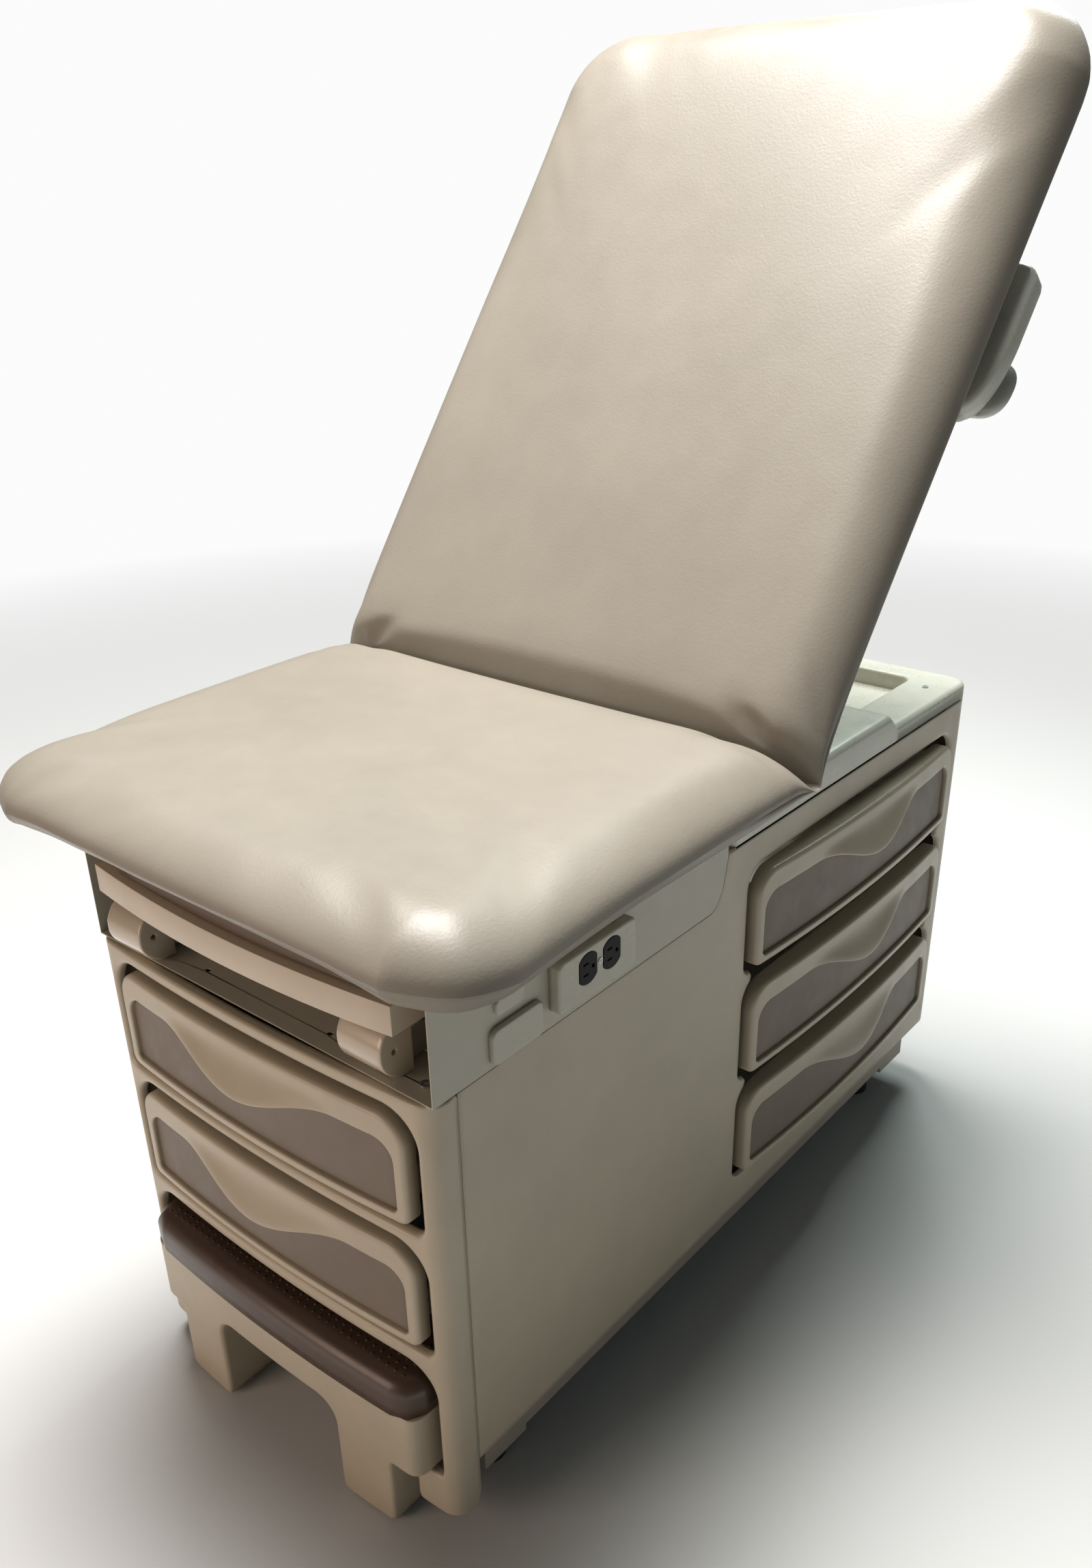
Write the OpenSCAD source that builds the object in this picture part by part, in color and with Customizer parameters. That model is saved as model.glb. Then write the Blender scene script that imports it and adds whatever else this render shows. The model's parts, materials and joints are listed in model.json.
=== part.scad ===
// Medical exam table: box base with five drawers, pull-out step, footrest and
// foot supports, and a seamless upholstered top whose back section tilts.
// Millimetres. +Z is up, the floor is z = 0, the foot end faces -Y, and X = 0 is
// the plane of symmetry. The model is drawn with its back section raised.

/* [Base] */
// Width of the plastic base
base_w = 512; // [500:1:530]
// Length of the base behind the front edge of the deck
base_len = 1110; // [1100:1:1160]
// Height of the lower edge of the side panels
panel_low = 108; // [106:1:112]
// Height of the seam between the base and the rear top cover
seam_z = 656; // [654:1:660]
// Wall of the moulded plastic panels
wall = 5; // [4:0.5:6]
// Gap between the plinth and the floor
foot_gap = 46; // [42:1:50]

/* [Deck and top] */
// Height of the deck shelf under the footrest
deck_z = 592; // [591:1:593]
// Height of the underside of the seat cushion
seat_low = 740; // [740:1:744]
// Thickness of the seat cushion
seat_t = 60; // [50:1:70]
// Width of the upholstery
cushion_w = 704; // [680:1:720]
// Overhang of the seat cushion in front of the deck
seat_overhang = 78; // [70:1:90]
// Thickness of the sheet-metal parts
sheet = 1.5; // [1.2:0.1:2]

/* [Back section] */
// Angle of the back section above horizontal
back_angle = 53.5; // [30:0.5:70]
// Length of the back section from its hinge
back_len = 918; // [880:1:930]
// Steepest angle that the back section reaches
back_max = 80; // [75:1:80]
// Distance of the hinge behind the front edge of the deck
hinge_back = 497; // [495:1:499]

/* [Drawers] */
// Height of a drawer front
drawer_h = 126; // [120:1:126]
// Width of a front drawer's front
front_w = 442; // [436:1:446]
// Height of the lower front drawer's bottom edge
front_low = 278; // [276:1:280]
// Spacing of the two front drawers
front_pitch = 160; // [159:1:160]
// Width of a side drawer's front
side_w = 520; // [510:1:522]
// Height of the lowest side drawer's bottom edge
side_low = 164; // [162:1:166]
// Spacing of the three side drawers
side_pitch = 156.5; // [155:0.5:157]
// Middle of the side drawers behind the front edge of the deck
side_mid = 798; // [796:1:800]
// Gap around each drawer front
drawer_gap = 9; // [7:1:10]

/* [Step] */
// Height of the top of the step
step_top = 231; // [228:1:233]
// Thickness of the step's tread
tread_t = 45; // [40:1:48]
// Clearance of the step's legs above the floor
step_clear = 2; // [1:1:4]

/* [Hidden] */
$fn = 64;

half = base_w / 2;
front = -(base_len - seat_overhang) / 2;   // y of the deck's front edge
rear = front + base_len;
plastic = [0.80, 0.76, 0.69];
taupe = [0.46, 0.41, 0.36];
brown = [0.38, 0.32, 0.27];
vinyl = [0.67, 0.60, 0.54];
steel = [0.62, 0.63, 0.64];
dark = [0.12, 0.12, 0.12];
fine = 0.5;                                // clearance between neighbouring parts
inner_half = half - wall - 1;              // half width that fits inside the base's panels
seat_top = seat_low + seat_t;
hinge_y = front + hinge_back;
hinge_z = seat_low - 9;
pin_r = 4;
ring_r = 9;
bracket_x = 170;                           // inner face of the fixed hinge ears
bracket_t = 6;
arm_x = 162;                               // inner face of the back section's hinge arms
well_half = 186;                           // half width of the open well behind the seat
rail_split = front + 874;                  // where the top cover's rails step down
rail_z = 697;
tail_z = 678;
sag = 12;                                  // outward bow of the front panels
panel_front = front - 5;                   // front face at the corners

// ---- shared shapes -------------------------------------------------------

module rounded(w, h, r) {
  square([w - 2 * r, h], center = true);
  square([w, h - 2 * r], center = true);
  for (x = [-1, 1], y = [-1, 1]) translate([x * (w / 2 - r), y * (h / 2 - r)]) circle(r);
}
module xz(y0, y1) translate([0, y1, 0]) rotate([90, 0, 0]) linear_extrude(y1 - y0) children();
module yz(x0, x1) translate([x0, 0, 0]) rotate([90, 0, 90]) linear_extrude(x1 - x0) children();
module xy(z0, z1) translate([0, 0, z0]) linear_extrude(z1 - z0) children();
module block(x0, x1, y0, y1, z0, z1) translate([x0, y0, z0]) cube([x1 - x0, y1 - y0, z1 - z0]);
module both() for (s = [0, 1]) mirror([s, 0, 0]) children();

// Plan area whose front edge bows out by `bow` between x = -w/2 and w/2.
module bowed(w, y_end, bow, y_rear) {
  r = (w * w / 4 + bow * bow) / (2 * bow);
  intersection() {
    translate([-w / 2, y_end - bow]) square([w, y_rear - y_end + bow]);
    translate([0, y_end - bow + r]) circle(r, $fn = 720);
  }
}
// Rectangle with large top corners and small bottom corners, bottom at y = 0.
module front_outline(w, h, r_top, r_low) {
  translate([-w / 2 + r_low, 0]) square([w - 2 * r_low, h]);
  translate([-w / 2, r_low]) square([w, h - r_low - r_top]);
  translate([-w / 2 + r_top, 0]) square([w - 2 * r_top, h]);
  for (s = [-1, 1]) {
    translate([s * (w / 2 - r_top), h - r_top]) circle(r_top);
    translate([s * (w / 2 - r_low), r_low]) circle(r_low);
  }
}
module at_back() translate([0, hinge_y, hinge_z]) rotate([back_angle, 0, 0]) children();

// ---- base ----------------------------------------------------------------

module side_opening(k) translate([front + side_mid, side_low + k * side_pitch - drawer_gap])
  front_outline(side_w + 2 * drawer_gap, drawer_h + 2 * drawer_gap, 30, 14);

// Plan of the base with rounded rear corners, `inset` in from its outside.
module base_plan(inset, y0) {
  r = 25 - inset;
  translate([-half + inset, y0]) square([base_w - 2 * inset, rear - 25 - y0]);
  translate([-half + 25, y0]) square([base_w - 50, rear - inset - y0]);
  for (s = [-1, 1]) translate([s * (half - 25), rear - 25]) circle(r);
}
module base_shell() color(plastic) difference() {
  xy(panel_low, seam_z) difference() {
    base_plan(0, front + 32);
    base_plan(wall, front + 31);
  }
  for (k = [0:2]) yz(-half - 1, half + 1) side_opening(k);
  xz(rear - wall - 1, rear + 1) translate([inlet_x, inlet_z]) rounded(52, 34, 4);
  both() yz(half - wall - 1, half + 1) housing_side(fine);
}

foot_in = 197;                             // inner half width between the fascia's feet
foot_top = 96;
foot_low = 38;
foot_r = 12;
arch_top = 249;                            // top of the opening that the step comes out of

module fascia_outline() difference() {
  union() {
    translate([-half, foot_low + 40]) square([base_w, deck_z - sheet - fine - foot_low - 40]);
    translate([0, foot_low + 50]) rounded(base_w, 100, foot_r);
  }
  for (k = [0, 1]) translate([0, front_low + k * front_pitch - drawer_gap])
    front_outline(front_w + 3 * drawer_gap, drawer_h + 2 * drawer_gap, 42, 14);
  translate([0, foot_top]) front_outline(468, arch_top - foot_top, 40, 1);
  front_outline(2 * foot_in, foot_top + 20, 1, 1);
}
module fascia_plan(inset) intersection() {
  translate([0, inset]) bowed(base_w - 2 * inset, panel_front, sag, front + 100);
  translate([0, panel_front - sag + inset + 100]) rounded(base_w - 2 * inset, 200, 24 - inset);
}
module front_fascia() color(plastic) {
  intersection() {
    xz(front - 30, front + 32 - fine) fascia_outline();
    xy(0, deck_z) difference() {
      fascia_plan(0);
      fascia_plan(wall);
    }
  }
}

module plinth() color([0.70, 0.67, 0.61]) difference() {
  xy(foot_gap, panel_low - fine) difference() {
    translate([-half + 20, front + 60]) square([base_w - 40, base_len - 60 - 38]);
    translate([-half + 26, front + 66]) square([base_w - 52, base_len - 60 - 50]);
  }
  both() block(half - 40, half, front + 130, front + 1000, foot_gap - 1, foot_gap + 9);
}

module foot_places() for (x = [-190, 190], y = [110, 1000]) translate([x, front + y, 0]) children();

module chassis() color(steel) difference() {
  union() {
    block(-250, 250, front + 100, rear - 20, panel_low, panel_low + 3);
    block(-250, 250, front + 508, front + 511, panel_low + 3, 604);
    both() block(247, 250, front + 34, front + 508, panel_low + 30, 560);
    both() block(247, 250, front + 100, front + 508, panel_low, panel_low + 40);
  }
  foot_places() cylinder(h = 400, r = 6.05, center = true);
}

module frame_rails() color(steel) {
  both() block(226, 250, front + 484, rear - 20, 612, 650);
  block(-250, 250, front + 484, front + 508 - fine, 612, 650);
  block(-226, 226, front + 880, front + 894, 612, 636);
  block(-226, 226, rear - 34, rear - 12, 612, 650);
}

module leveling_feet() color(dark) foot_places() {
  cylinder(h = 10, r = 24);
  translate([0, 0, 10]) cylinder(h = 6, r1 = 24, r2 = 16);
}
module leveling_studs() color(steel) foot_places() {
  translate([0, 0, 16]) cylinder(h = panel_low - 16 + 25, r = 6);
  translate([0, 0, 16]) cylinder(h = 8, r = 10, $fn = 6);
  translate([0, 0, panel_low - 8]) cylinder(h = 8 - fine / 2, r = 10, $fn = 6);
}

// ---- deck housing and seat -----------------------------------------------

// Side view of the metal housing, `gap` bigger at its rear and lower edges.
module housing_side(gap) polygon([[front, deck_z - sheet - gap], [front, seat_low - fine],
  [front + 479 + gap, seat_low - fine], [front + 479 + gap, seam_z - 6], [front + 470 + gap, 612],
  [front + 457 + gap, deck_z + 2], [front + 450 + gap, deck_z - sheet - gap]]);

module deck_housing() color([0.78, 0.75, 0.68]) difference() {
  union() {
    block(-half + sheet, half - sheet, front, front + 440, deck_z - sheet, deck_z);
    block(-inner_half, inner_half, front + 430, front + 478, deck_z - sheet, deck_z);
    for (x = [-half, half - sheet]) yz(x, x + sheet) housing_side(0);
    both() block(half - 24, half - sheet, front + 20, front + 470, 722, 723.5);
    block(-inner_half, inner_half, front + 476.5, front + 478, deck_z - sheet, 700);
  }
  for (x = [-95, 95]) translate([x, front + 24, deck_z]) cylinder(h = 20, r = 3, center = true);
  for (x = [-226, 226]) translate([x, front + 22, deck_z]) cylinder(h = 20, r = 2.1, center = true);
  yz(half - 10, half + 10) translate([socket_mid, socket_z]) square([96, 42], center = true);
  both() yz(arm_x - 4, bracket_x + 12) translate([front + 470, 690]) square([30, 60]);
}

module seat_board() color([0.62, 0.50, 0.36])
  block(-half + 12, half - 12, front - 20, front + 462, 724, seat_low - 0.4);

module wedge_cut(z_top) {
  // Seat side of the fold: keeps the space that the tilting back section needs.
  rise = z_top - hinge_z;
  run = rise * tan(back_max / 2 + 1);
  polygon([[hinge_y, hinge_z], [hinge_y - run, z_top], [hinge_y + 400, z_top],
    [hinge_y + 400, hinge_z - 200], [hinge_y, hinge_z - 200]]);
}
module seat_cushion() color(vinyl) difference() {
  xy(seat_low, seat_top) intersection() {
    bowed(cushion_w, front - seat_overhang + 16, 16, hinge_y);
    translate([0, front - seat_overhang + 500]) rounded(cushion_w, 1000, 85);
  }
  yz(-400, 400) wedge_cut(seat_top + 5);
}

module screw_head(r, h) {
  difference() {
    cylinder(h = h, r = r);
    translate([0, 0, h]) cube([2 * r - 1, 1, 1.6], center = true);
    translate([0, 0, h]) cube([1, 2 * r - 1, 1.6], center = true);
  }
}
module panel_screws() color(steel) {
  for (x = [-226, 226]) translate([x, front + 22, deck_z]) {
    screw_head(5.5, 2.2);
    translate([0, 0, -12]) cylinder(h = 12, r = 2);
  }
  translate([half + plate_h, socket_mid, socket_z]) rotate([0, 90, 0]) screw_head(3, 1.2);
  for (y = [560, 1040]) both() translate([half - 36, front + y, rail_top(y)]) screw_head(4.5, 1.5);
}
function rail_top(y) = y < 874 ? rail_z : tail_z;

// ---- receptacle ----------------------------------------------------------

plate_h = 14;                              // how far the outlet's plate stands out
socket_z = 643;                            // height of the two sockets
sockets = [front + 207, front + 245];      // where they are along the housing
socket_mid = (sockets[0] + sockets[1]) / 2;
module receptacle_plate() color([0.76, 0.74, 0.67]) difference() {
  yz(half + 0.2, half + plate_h) translate([front + 225, 637]) rounded(124, 60, 9);
  yz(half - 1, half + plate_h - 3) translate([front + 225, 637]) rounded(116, 52, 5);
  for (y = sockets) yz(half - 1, half + plate_h + 2) translate([y, socket_z]) outlet_face(0.4);
}
module outlet_face(gap) intersection() {
  circle(17.2 + gap);
  square([27.5 + 2 * gap, 40], center = true);
}
module receptacle() color(dark) {
  for (y = sockets) translate([0, y, socket_z]) difference() {
    yz(half - 12, half + plate_h + 0.6) outlet_face(0);
    for (z = [-7, 5]) block(half + 2, half + plate_h + 2, -8, 0, z, z + 2);
    yz(half + 2, half + plate_h + 2) translate([7.5, 0]) circle(2.4);
  }
  block(half - 16, half - 12, socket_mid - 43, socket_mid + 43, socket_z - 17, socket_z + 17);
}
module receptacle_box() color(steel) difference() {
  block(224, half - 2, socket_mid - 52, socket_mid + 52, 611, 663);
  block(226, half - 1, socket_mid - 50, socket_mid + 50, 613, 661.4);
}
// Cover of an unused cut-out and a small raised strip above it.
module blank_plate() color([0.76, 0.74, 0.67]) {
  yz(half + 0.2, half + 6) translate([front + 113, 614.5]) rounded(74, 40, 9);
  yz(half + 0.2, half + 4) translate([front + 105, 655]) rounded(40, 18, 6);
}

inlet_x = -190;                            // middle of the power inlet on the rear panel
inlet_z = 175;
module power_inlet() color(dark) xz(rear - 26, rear) translate([inlet_x, inlet_z]) difference() {
  rounded(50, 32, 3);
  for (x = [-7, 0, 7]) translate([x, x == 0 ? 4 : -3]) square([2, 5], center = true);
}

// ---- rear top cover ------------------------------------------------------

module cover_side() polygon([[front + 482, seam_z + fine], [front + 482, rail_z],
  [rail_split - 6, rail_z], [rail_split + 6, tail_z], [rear - 6, tail_z], [rear, tail_z - 8],
  [rear, seam_z + fine]]);

module top_cover() color([0.78, 0.76, 0.70]) difference() {
  union() {
    difference() {
      yz(-half, half) cover_side();
      yz(-half + 4, half - 4) translate([0, -4]) cover_side();
    }
    block(-well_half - 4, well_half + 4, front + 486, front + 898, seam_z + fine, 690);
    block(-well_half - 4, well_half + 4, front + 894, rear - 36, 653, tail_z);
  }
  block(-well_half, well_half, front + 400, front + 890, seam_z - 40, rail_z + 20);
  block(-well_half, well_half, front + 902, rear - 45, 656, tail_z + 20);
  block(-well_half - 20, well_half + 20, front + 460, front + 484, 600, rail_z + 20);
  xy(seam_z - 10, tail_z + 30) difference() {
    translate([-half - 10, rear - 30]) square([base_w + 20, 60]);
    translate([0, rear - 100]) rounded(base_w, 200, 25);
  }
}

// ---- back section --------------------------------------------------------

back_low0 = 9;                             // rear surface of the cushion at the hinge
back_taper = 0.04;                         // how fast the cushion thickens towards the head
cushion_top = seat_top - hinge_z;

board_t = 13;
function under(s) = back_low0 - back_taper * s;       // rear surface of the cushion
function board_under(s) = under(s) - 0.4 - board_t;   // rear surface of its board

module back_profile() polygon([[back_low0 * tan(back_max / 2 + 1), back_low0],
  [cushion_top * tan(back_max / 2 + 1), cushion_top], [back_len, cushion_top],
  [back_len, under(back_len)], [20, under(20)]]);

module back_cushion() color(vinyl) at_back() intersection() {
  yz(-cushion_w / 2, cushion_w / 2) back_profile();
  xy(-100, 120) translate([0, back_len - 600]) rounded(cushion_w, 1200, 115);
}

// Bar of thickness `t` along the board's rear surface, from s0 to s1.
module under_board(s0, s1, t) polygon([[s0, board_under(s0)], [s1, board_under(s1)],
  [s1, board_under(s1) - t], [s0, board_under(s0) - t]]);

module back_board() color(dark) at_back() yz(-half + 12, half - 12)
  polygon([[40, under(40) - 0.4], [860, under(860) - 0.4], [860, board_under(860)],
    [40, board_under(40)]]);

module hinge_ring(x0, x1, r) translate([x0, 0, 0]) rotate([0, 90, 0]) cylinder(h = x1 - x0, r = r);

module back_hinge_arms() color(steel) at_back() both() difference() {
  union() {
    hinge_ring(arm_x, arm_x + 6, ring_r);
    yz(arm_x, arm_x + 6) polygon([[0, -ring_r], [0, -1], [42, board_under(42)], [60, -26], [30, -18]]);
    yz(arm_x - 20, arm_x + 6) under_board(42, 180, 16);
  }
  hinge_ring(arm_x - 1, arm_x + 7, pin_r + 0.05);
}
module hinge_brackets() color(steel) both() translate([0, hinge_y, hinge_z]) difference() {
  union() {
    hinge_ring(bracket_x, bracket_x + bracket_t, ring_r);
    block(bracket_x, bracket_x + bracket_t, -ring_r, ring_r, 652 - hinge_z, 0);
    block(bracket_x - 16, bracket_x + 12, -ring_r, ring_r, 650.2 - hinge_z, 655 - hinge_z);
  }
  hinge_ring(bracket_x - 1, bracket_x + bracket_t + 1, pin_r);
}
module hinge_pins() color(steel) both() translate([0, hinge_y, hinge_z]) {
  hinge_ring(arm_x - 4, bracket_x + bracket_t, pin_r);
  hinge_ring(bracket_x + bracket_t, bracket_x + bracket_t + 4, pin_r + 3);
}

// Release handles: a curved housing on each side edge and a squeeze lever under it.
handle_s = 548;                            // middle of the handle along the back
handle_len = 190;
handle_in = 264;                           // inner and outer faces of the handle housings
handle_out = cushion_w / 2 + 2;
lever_s = 508;
lever_t = -52;
lever_pin_r = 3;

module handle_housings() color(plastic) at_back() both() {
  difference() {
    handle_shell();
    yz(300, cushion_w / 2 - 6) translate([lever_s, lever_t - 6]) rounded(90, 50, 12);
    translate([0, lever_s, lever_t]) hinge_ring(290, handle_out - 6, lever_pin_r);
  }
  yz(half - 26, handle_in + 20) under_board(handle_s - 30, handle_s + 30, 3);
}
module handle_shell() intersection() {
  yz(handle_in, handle_out) translate([handle_s, -46]) {
    rounded(handle_len, 60, 24);
    translate([0, -15]) rounded(handle_len, 30, 8);
  }
  xy(-100, 0) translate([handle_out - 50, handle_s]) rounded(100, handle_len + 2, 9);
}

module release_lever() color([0.60, 0.57, 0.51]) at_back() yz(306, cushion_w / 2 - 9) difference() {
  union() {
    translate([lever_s + 4, lever_t - 14]) rounded(70, 30, 14);
    translate([lever_s - 18, lever_t - 22]) circle(16);
  }
  translate([lever_s, lever_t]) circle(lever_pin_r + 0.05);
}
module lever_pins() color(steel) at_back() both()
  translate([0, lever_s, lever_t]) hinge_ring(290, handle_out - 6, lever_pin_r);
module release_lever_r() release_lever();
module release_lever_l() mirror([1, 0, 0]) release_lever();

// ---- gas spring ----------------------------------------------------------

spring_y = front + 866;
spring_z = 640;
spring_s = 50;
spring_t = -36;
eye_y = hinge_y + spring_s * cos(back_angle) - spring_t * sin(back_angle);
eye_z = hinge_z + spring_s * sin(back_angle) + spring_t * cos(back_angle);
spring_angle = atan2(eye_z - spring_z, eye_y - spring_y);
spring_len = norm([eye_y - spring_y, eye_z - spring_z]);
cylinder_len = 225;

module along_spring() translate([0, spring_y, spring_z]) rotate([spring_angle, 0, 0]) children();

module spring_mount() color(steel) {
  for (x = [-17, 11]) yz(x, x + 6) {
    translate([spring_y, spring_z]) circle(10);
    translate([spring_y - 2, spring_z - 10]) square([16, 20]);
  }
  translate([0, spring_y, spring_z]) hinge_ring(-20, 20, 5);
}
module gas_cylinder() color([0.10, 0.10, 0.11]) along_spring() {
  difference() {
    hinge_ring(-8, 8, 9);
    hinge_ring(-9, 9, 5.05);
  }
  translate([0, 8.5, 0]) rotate([-90, 0, 0]) difference() {
    cylinder(h = cylinder_len, r = 11);
    translate([0, 0, 6]) cylinder(h = cylinder_len, r = 5.3);
  }
}
module gas_rod() color([0.75, 0.76, 0.78]) along_spring() {
  translate([0, 90, 0]) rotate([-90, 0, 0]) cylinder(h = spring_len - 90 - 7, r = 5);
  translate([0, spring_len, 0]) difference() {
    hinge_ring(-5.5, 5.5, 9);
    hinge_ring(-6, 6, 4.2);
  }
}
// Two cheeks that the rod's eye floats between, with a pin stub on each.
module spring_bracket() color(steel) at_back() {
  for (s = [-1, 1]) mirror([s > 0 ? 1 : 0, 0, 0]) {
    yz(7.5, 11.5) union() {
      translate([spring_s - 6, spring_t]) square([30, -8.2 - spring_t]);
      translate([spring_s, spring_t]) circle(22);
    }
    translate([0, spring_s, spring_t]) hinge_ring(11.5, 17, 5);
  }
  block(-11.5, 11.5, spring_s + 14, spring_s + 24, -12, -8.2);
}
module release_cables() color(dark) at_back() both() {
  translate([0, handle_s, -44]) hinge_ring(22, handle_in, 2.5);
  block(12, 22, handle_s - 8, handle_s + 8, -52, -28);
  yz(14, 19) polygon([[spring_s + 26, -16], [handle_s - 8, -42], [handle_s - 8, -46],
    [spring_s + 26, -20]]);
}

// ---- footrest and foot supports ------------------------------------------

pan_w = 444;
pan_low = 660;
pan_h = 32;

module pan_plan(inset) bowed(pan_w - 2 * inset, front - 10 + inset, 16, front + 440);
module footrest_pan() color([0.79, 0.76, 0.69]) {
  difference() {
    xy(pan_low, pan_low + pan_h) pan_plan(0);
    xy(pan_low - 1, pan_low + pan_h - sheet) pan_plan(sheet);
  }
  both() block(pan_w / 2 - sheet, 247, front + 40, front + 430, 670, 687);
}
module footrest_pad() color([0.40, 0.34, 0.30]) xy(pan_low + pan_h, 720) intersection() {
  bowed(416, front + 6, 14, front + 430);
  translate([0, front + 6 - 14 + 400]) rounded(416, 800, 34);
}
module footrest_slides() color(steel) both() {
  block(227, 252, front + 30, front + 470, 664, 667);
  block(249, 252, front + 30, front + 470, 667, 690);
  block(228, 252, front + 30, front + 470, 690, 693);
}

stirrup_x = 175;
stirrup_out_l = 10;                        // how far the left support stands out at rest

module stirrup_channel() difference() {
  block(stirrup_x - 24, stirrup_x + 24, front + 60, front + 470, deck_z + 0.1, deck_z + 48);
  block(stirrup_x - 22, stirrup_x + 22, front + 59, front + 471, deck_z + 2.1, deck_z + 46);
}
module stirrup_channels() color(steel) both() stirrup_channel();

module stirrup_bar(out) translate([0, -out, 0]) color(steel) difference() {
  block(stirrup_x - 20, stirrup_x + 20, front + 22, front + 460, deck_z + 8, deck_z + 40);
  block(stirrup_x - 18, stirrup_x + 18, front + 40, front + 461, deck_z + 10, deck_z + 38);
}
module stirrup_cap(out) translate([0, -out, 0]) color(plastic) difference() {
  yz(stirrup_x - 30, stirrup_x + 28) union() {
    intersection() {
      translate([front + 22, deck_z + 35]) circle(32);
      translate([front - 12, deck_z + 3]) square([34, 63]);
    }
    translate([front + 12, deck_z + 3]) square([20, 52]);
  }
  yz(stirrup_x - 20.2, stirrup_x + 20.2) translate([front + 21.8, deck_z + 7.8]) square([30, 32.4]);
  yz(stirrup_x - 31, stirrup_x + 29) translate([front + 8, deck_z + 34]) circle(3);
}
module stirrup_bar_r() stirrup_bar(0);
module stirrup_cap_r() stirrup_cap(0);
module stirrup_bar_l() mirror([1, 0, 0]) stirrup_bar(stirrup_out_l);
module stirrup_cap_l() mirror([1, 0, 0]) stirrup_cap(stirrup_out_l);

// ---- drawers -------------------------------------------------------------
// A drawer front is drawn about x = 0 with its bottom edge at z = 0, facing -Y.

insert_low = 12;
insert_top = 96;
band = 14;                                 // width of the frame beside the insert
face_y = -9;                               // face of the frame at its ends
pull_half = 128;

function wave(x, dip) = abs(x) > pull_half ? insert_top
  : insert_top - dip * (1 + cos(180 * x / pull_half)) / 2;

module insert_outline(w, dip) {
  n = 16;
  xs = [for (i = [0:n]) pull_half - 2 * pull_half * i / n];
  polygon(concat([[-w / 2 + 6, insert_low], [w / 2 - 6, insert_low], [w / 2, insert_low + 6],
    [w / 2, insert_top - 22], [w / 2 - 6, insert_top - 8], [w / 2 - 22, insert_top]],
    [for (x = xs) [x, wave(x, dip)]],
    [[-w / 2 + 22, insert_top], [-w / 2 + 6, insert_top - 8], [-w / 2, insert_top - 22],
    [-w / 2, insert_low + 6]]));
}
pull_lip = 0.8;                            // how far the pull stops short of the insert's edge
module pull_outline(dip) {
  n = 16;
  polygon(concat([[-pull_half, 112]],
    [for (i = [0:n]) let (x = -pull_half + 2 * pull_half * i / n) [x, wave(x, dip) + pull_lip]],
    [[pull_half, 112]]));
}
module drawer_front(w, dip) {
  difference() {
    intersection() {
      xz(-30, 8) front_outline(w, drawer_h, 34, 12);
      xy(-1, drawer_h + 1) bowed(w + 4, face_y, sag, 8);
    }
    intersection() {
      xz(-40, 20) insert_outline(w - 2 * band, dip);
      xy(-1, drawer_h + 1) bowed(w, face_y - 20, sag, face_y + 6);
    }
  }
  intersection() {
    xz(-60, -2) pull_outline(dip);
    xy(0, drawer_h) bowed(2 * pull_half, face_y - 7, 20, 4);
  }
}
module drawer_insert(w, dip) intersection() {
  xz(-40, 20) insert_outline(w - 2 * band - 0.4, dip + 0.3);
  xy(-1, drawer_h + 1) difference() {
    bowed(w, face_y + 4, sag, 20);
    translate([0, 1.9]) bowed(w + 4, face_y + 4, sag, 30);
  }
}
// Open-topped box with slide members on its sides, lying along Y behind the front.
module drawer_box(w, y0, y1) {
  difference() {
    block(-w / 2, w / 2, y0, y1, 10, 106);
    block(-w / 2 + 3, w / 2 - 3, y0 + 3, y1 - 3, 13, 107);
  }
  for (s = [-1, 1]) translate([s * (w / 2 + 8), 0, 0]) block(-8, 8, y0 + 10, y1, 44, 58);
}
module at_front(k) translate([0, front, front_low + (2 - k) * front_pitch]) children();
module front_drawer_front(k) color(plastic) at_front(k) drawer_front(front_w, 30);
module front_drawer_insert(k) color(taupe) at_front(k) drawer_insert(front_w, 30);
module front_drawer_box(k) color([0.72, 0.70, 0.66]) at_front(k) drawer_box(404, 8.2, 488);

module at_side(k, s) translate([0, front + side_mid, side_low + (3 - k) * side_pitch])
  rotate([0, 0, s * 90]) translate([0, -half, 0]) children();
module side_drawer_fronts(k) color(plastic) for (s = [-1, 1]) at_side(k, s) drawer_front(side_w, 32);
module side_drawer_inserts(k) color(taupe) for (s = [-1, 1]) at_side(k, s) drawer_insert(side_w, 32);
module side_drawer_box(k) color([0.72, 0.70, 0.66])
  translate([0, front + side_mid, side_low + (3 - k) * side_pitch]) {
  difference() {
    block(-half + 8.2, half - 8.2, -250, 250, 10, 106);
    block(-half + 11.2, half - 11.2, -247, 247, 13, 107);
  }
  for (s = [-1, 1]) translate([0, s * 258.5, 0]) block(-half + 12, half - 12, -8.5, 8.5, 44, 58);
}

module drawer_runners() color(steel) {
  for (k = [0, 1]) both() translate([0, 0, front_low + k * front_pitch]) {
    for (z = [40, 60]) block(206, 246.5, front + 40, front + 500, z, z + 2);
    block(219.5, 222, front + 40, front + 500, 42, 60);
  }
  // The side drawers' runners stand clear of the fronts, which pass between them.
  for (k = [0:2]) translate([0, front + side_mid, side_low + k * side_pitch]) {
    for (z = [40, 60]) {
      block(-246, 246, -286.5, -262.5, z, z + 2);
      block(-246, 246, 262.5, 300, z, z + 2);
    }
    block(-246, 246, -286.5, -268, 42, 60);
    block(-246, 246, 268, 300, 42, 60);
  }
}

// ---- step ----------------------------------------------------------------

riser_top = step_top - tread_t;
riser_half = 221;
riser_front = front - 28;                  // front face at the riser's corners, bowed out by 10
notch_z = 100;                             // the riser is full width above this
leg_in = 100;                              // the legs' inner and outer half widths
leg_out = 182;
arch_z = 134;                              // top of the cut-out between the legs

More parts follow.
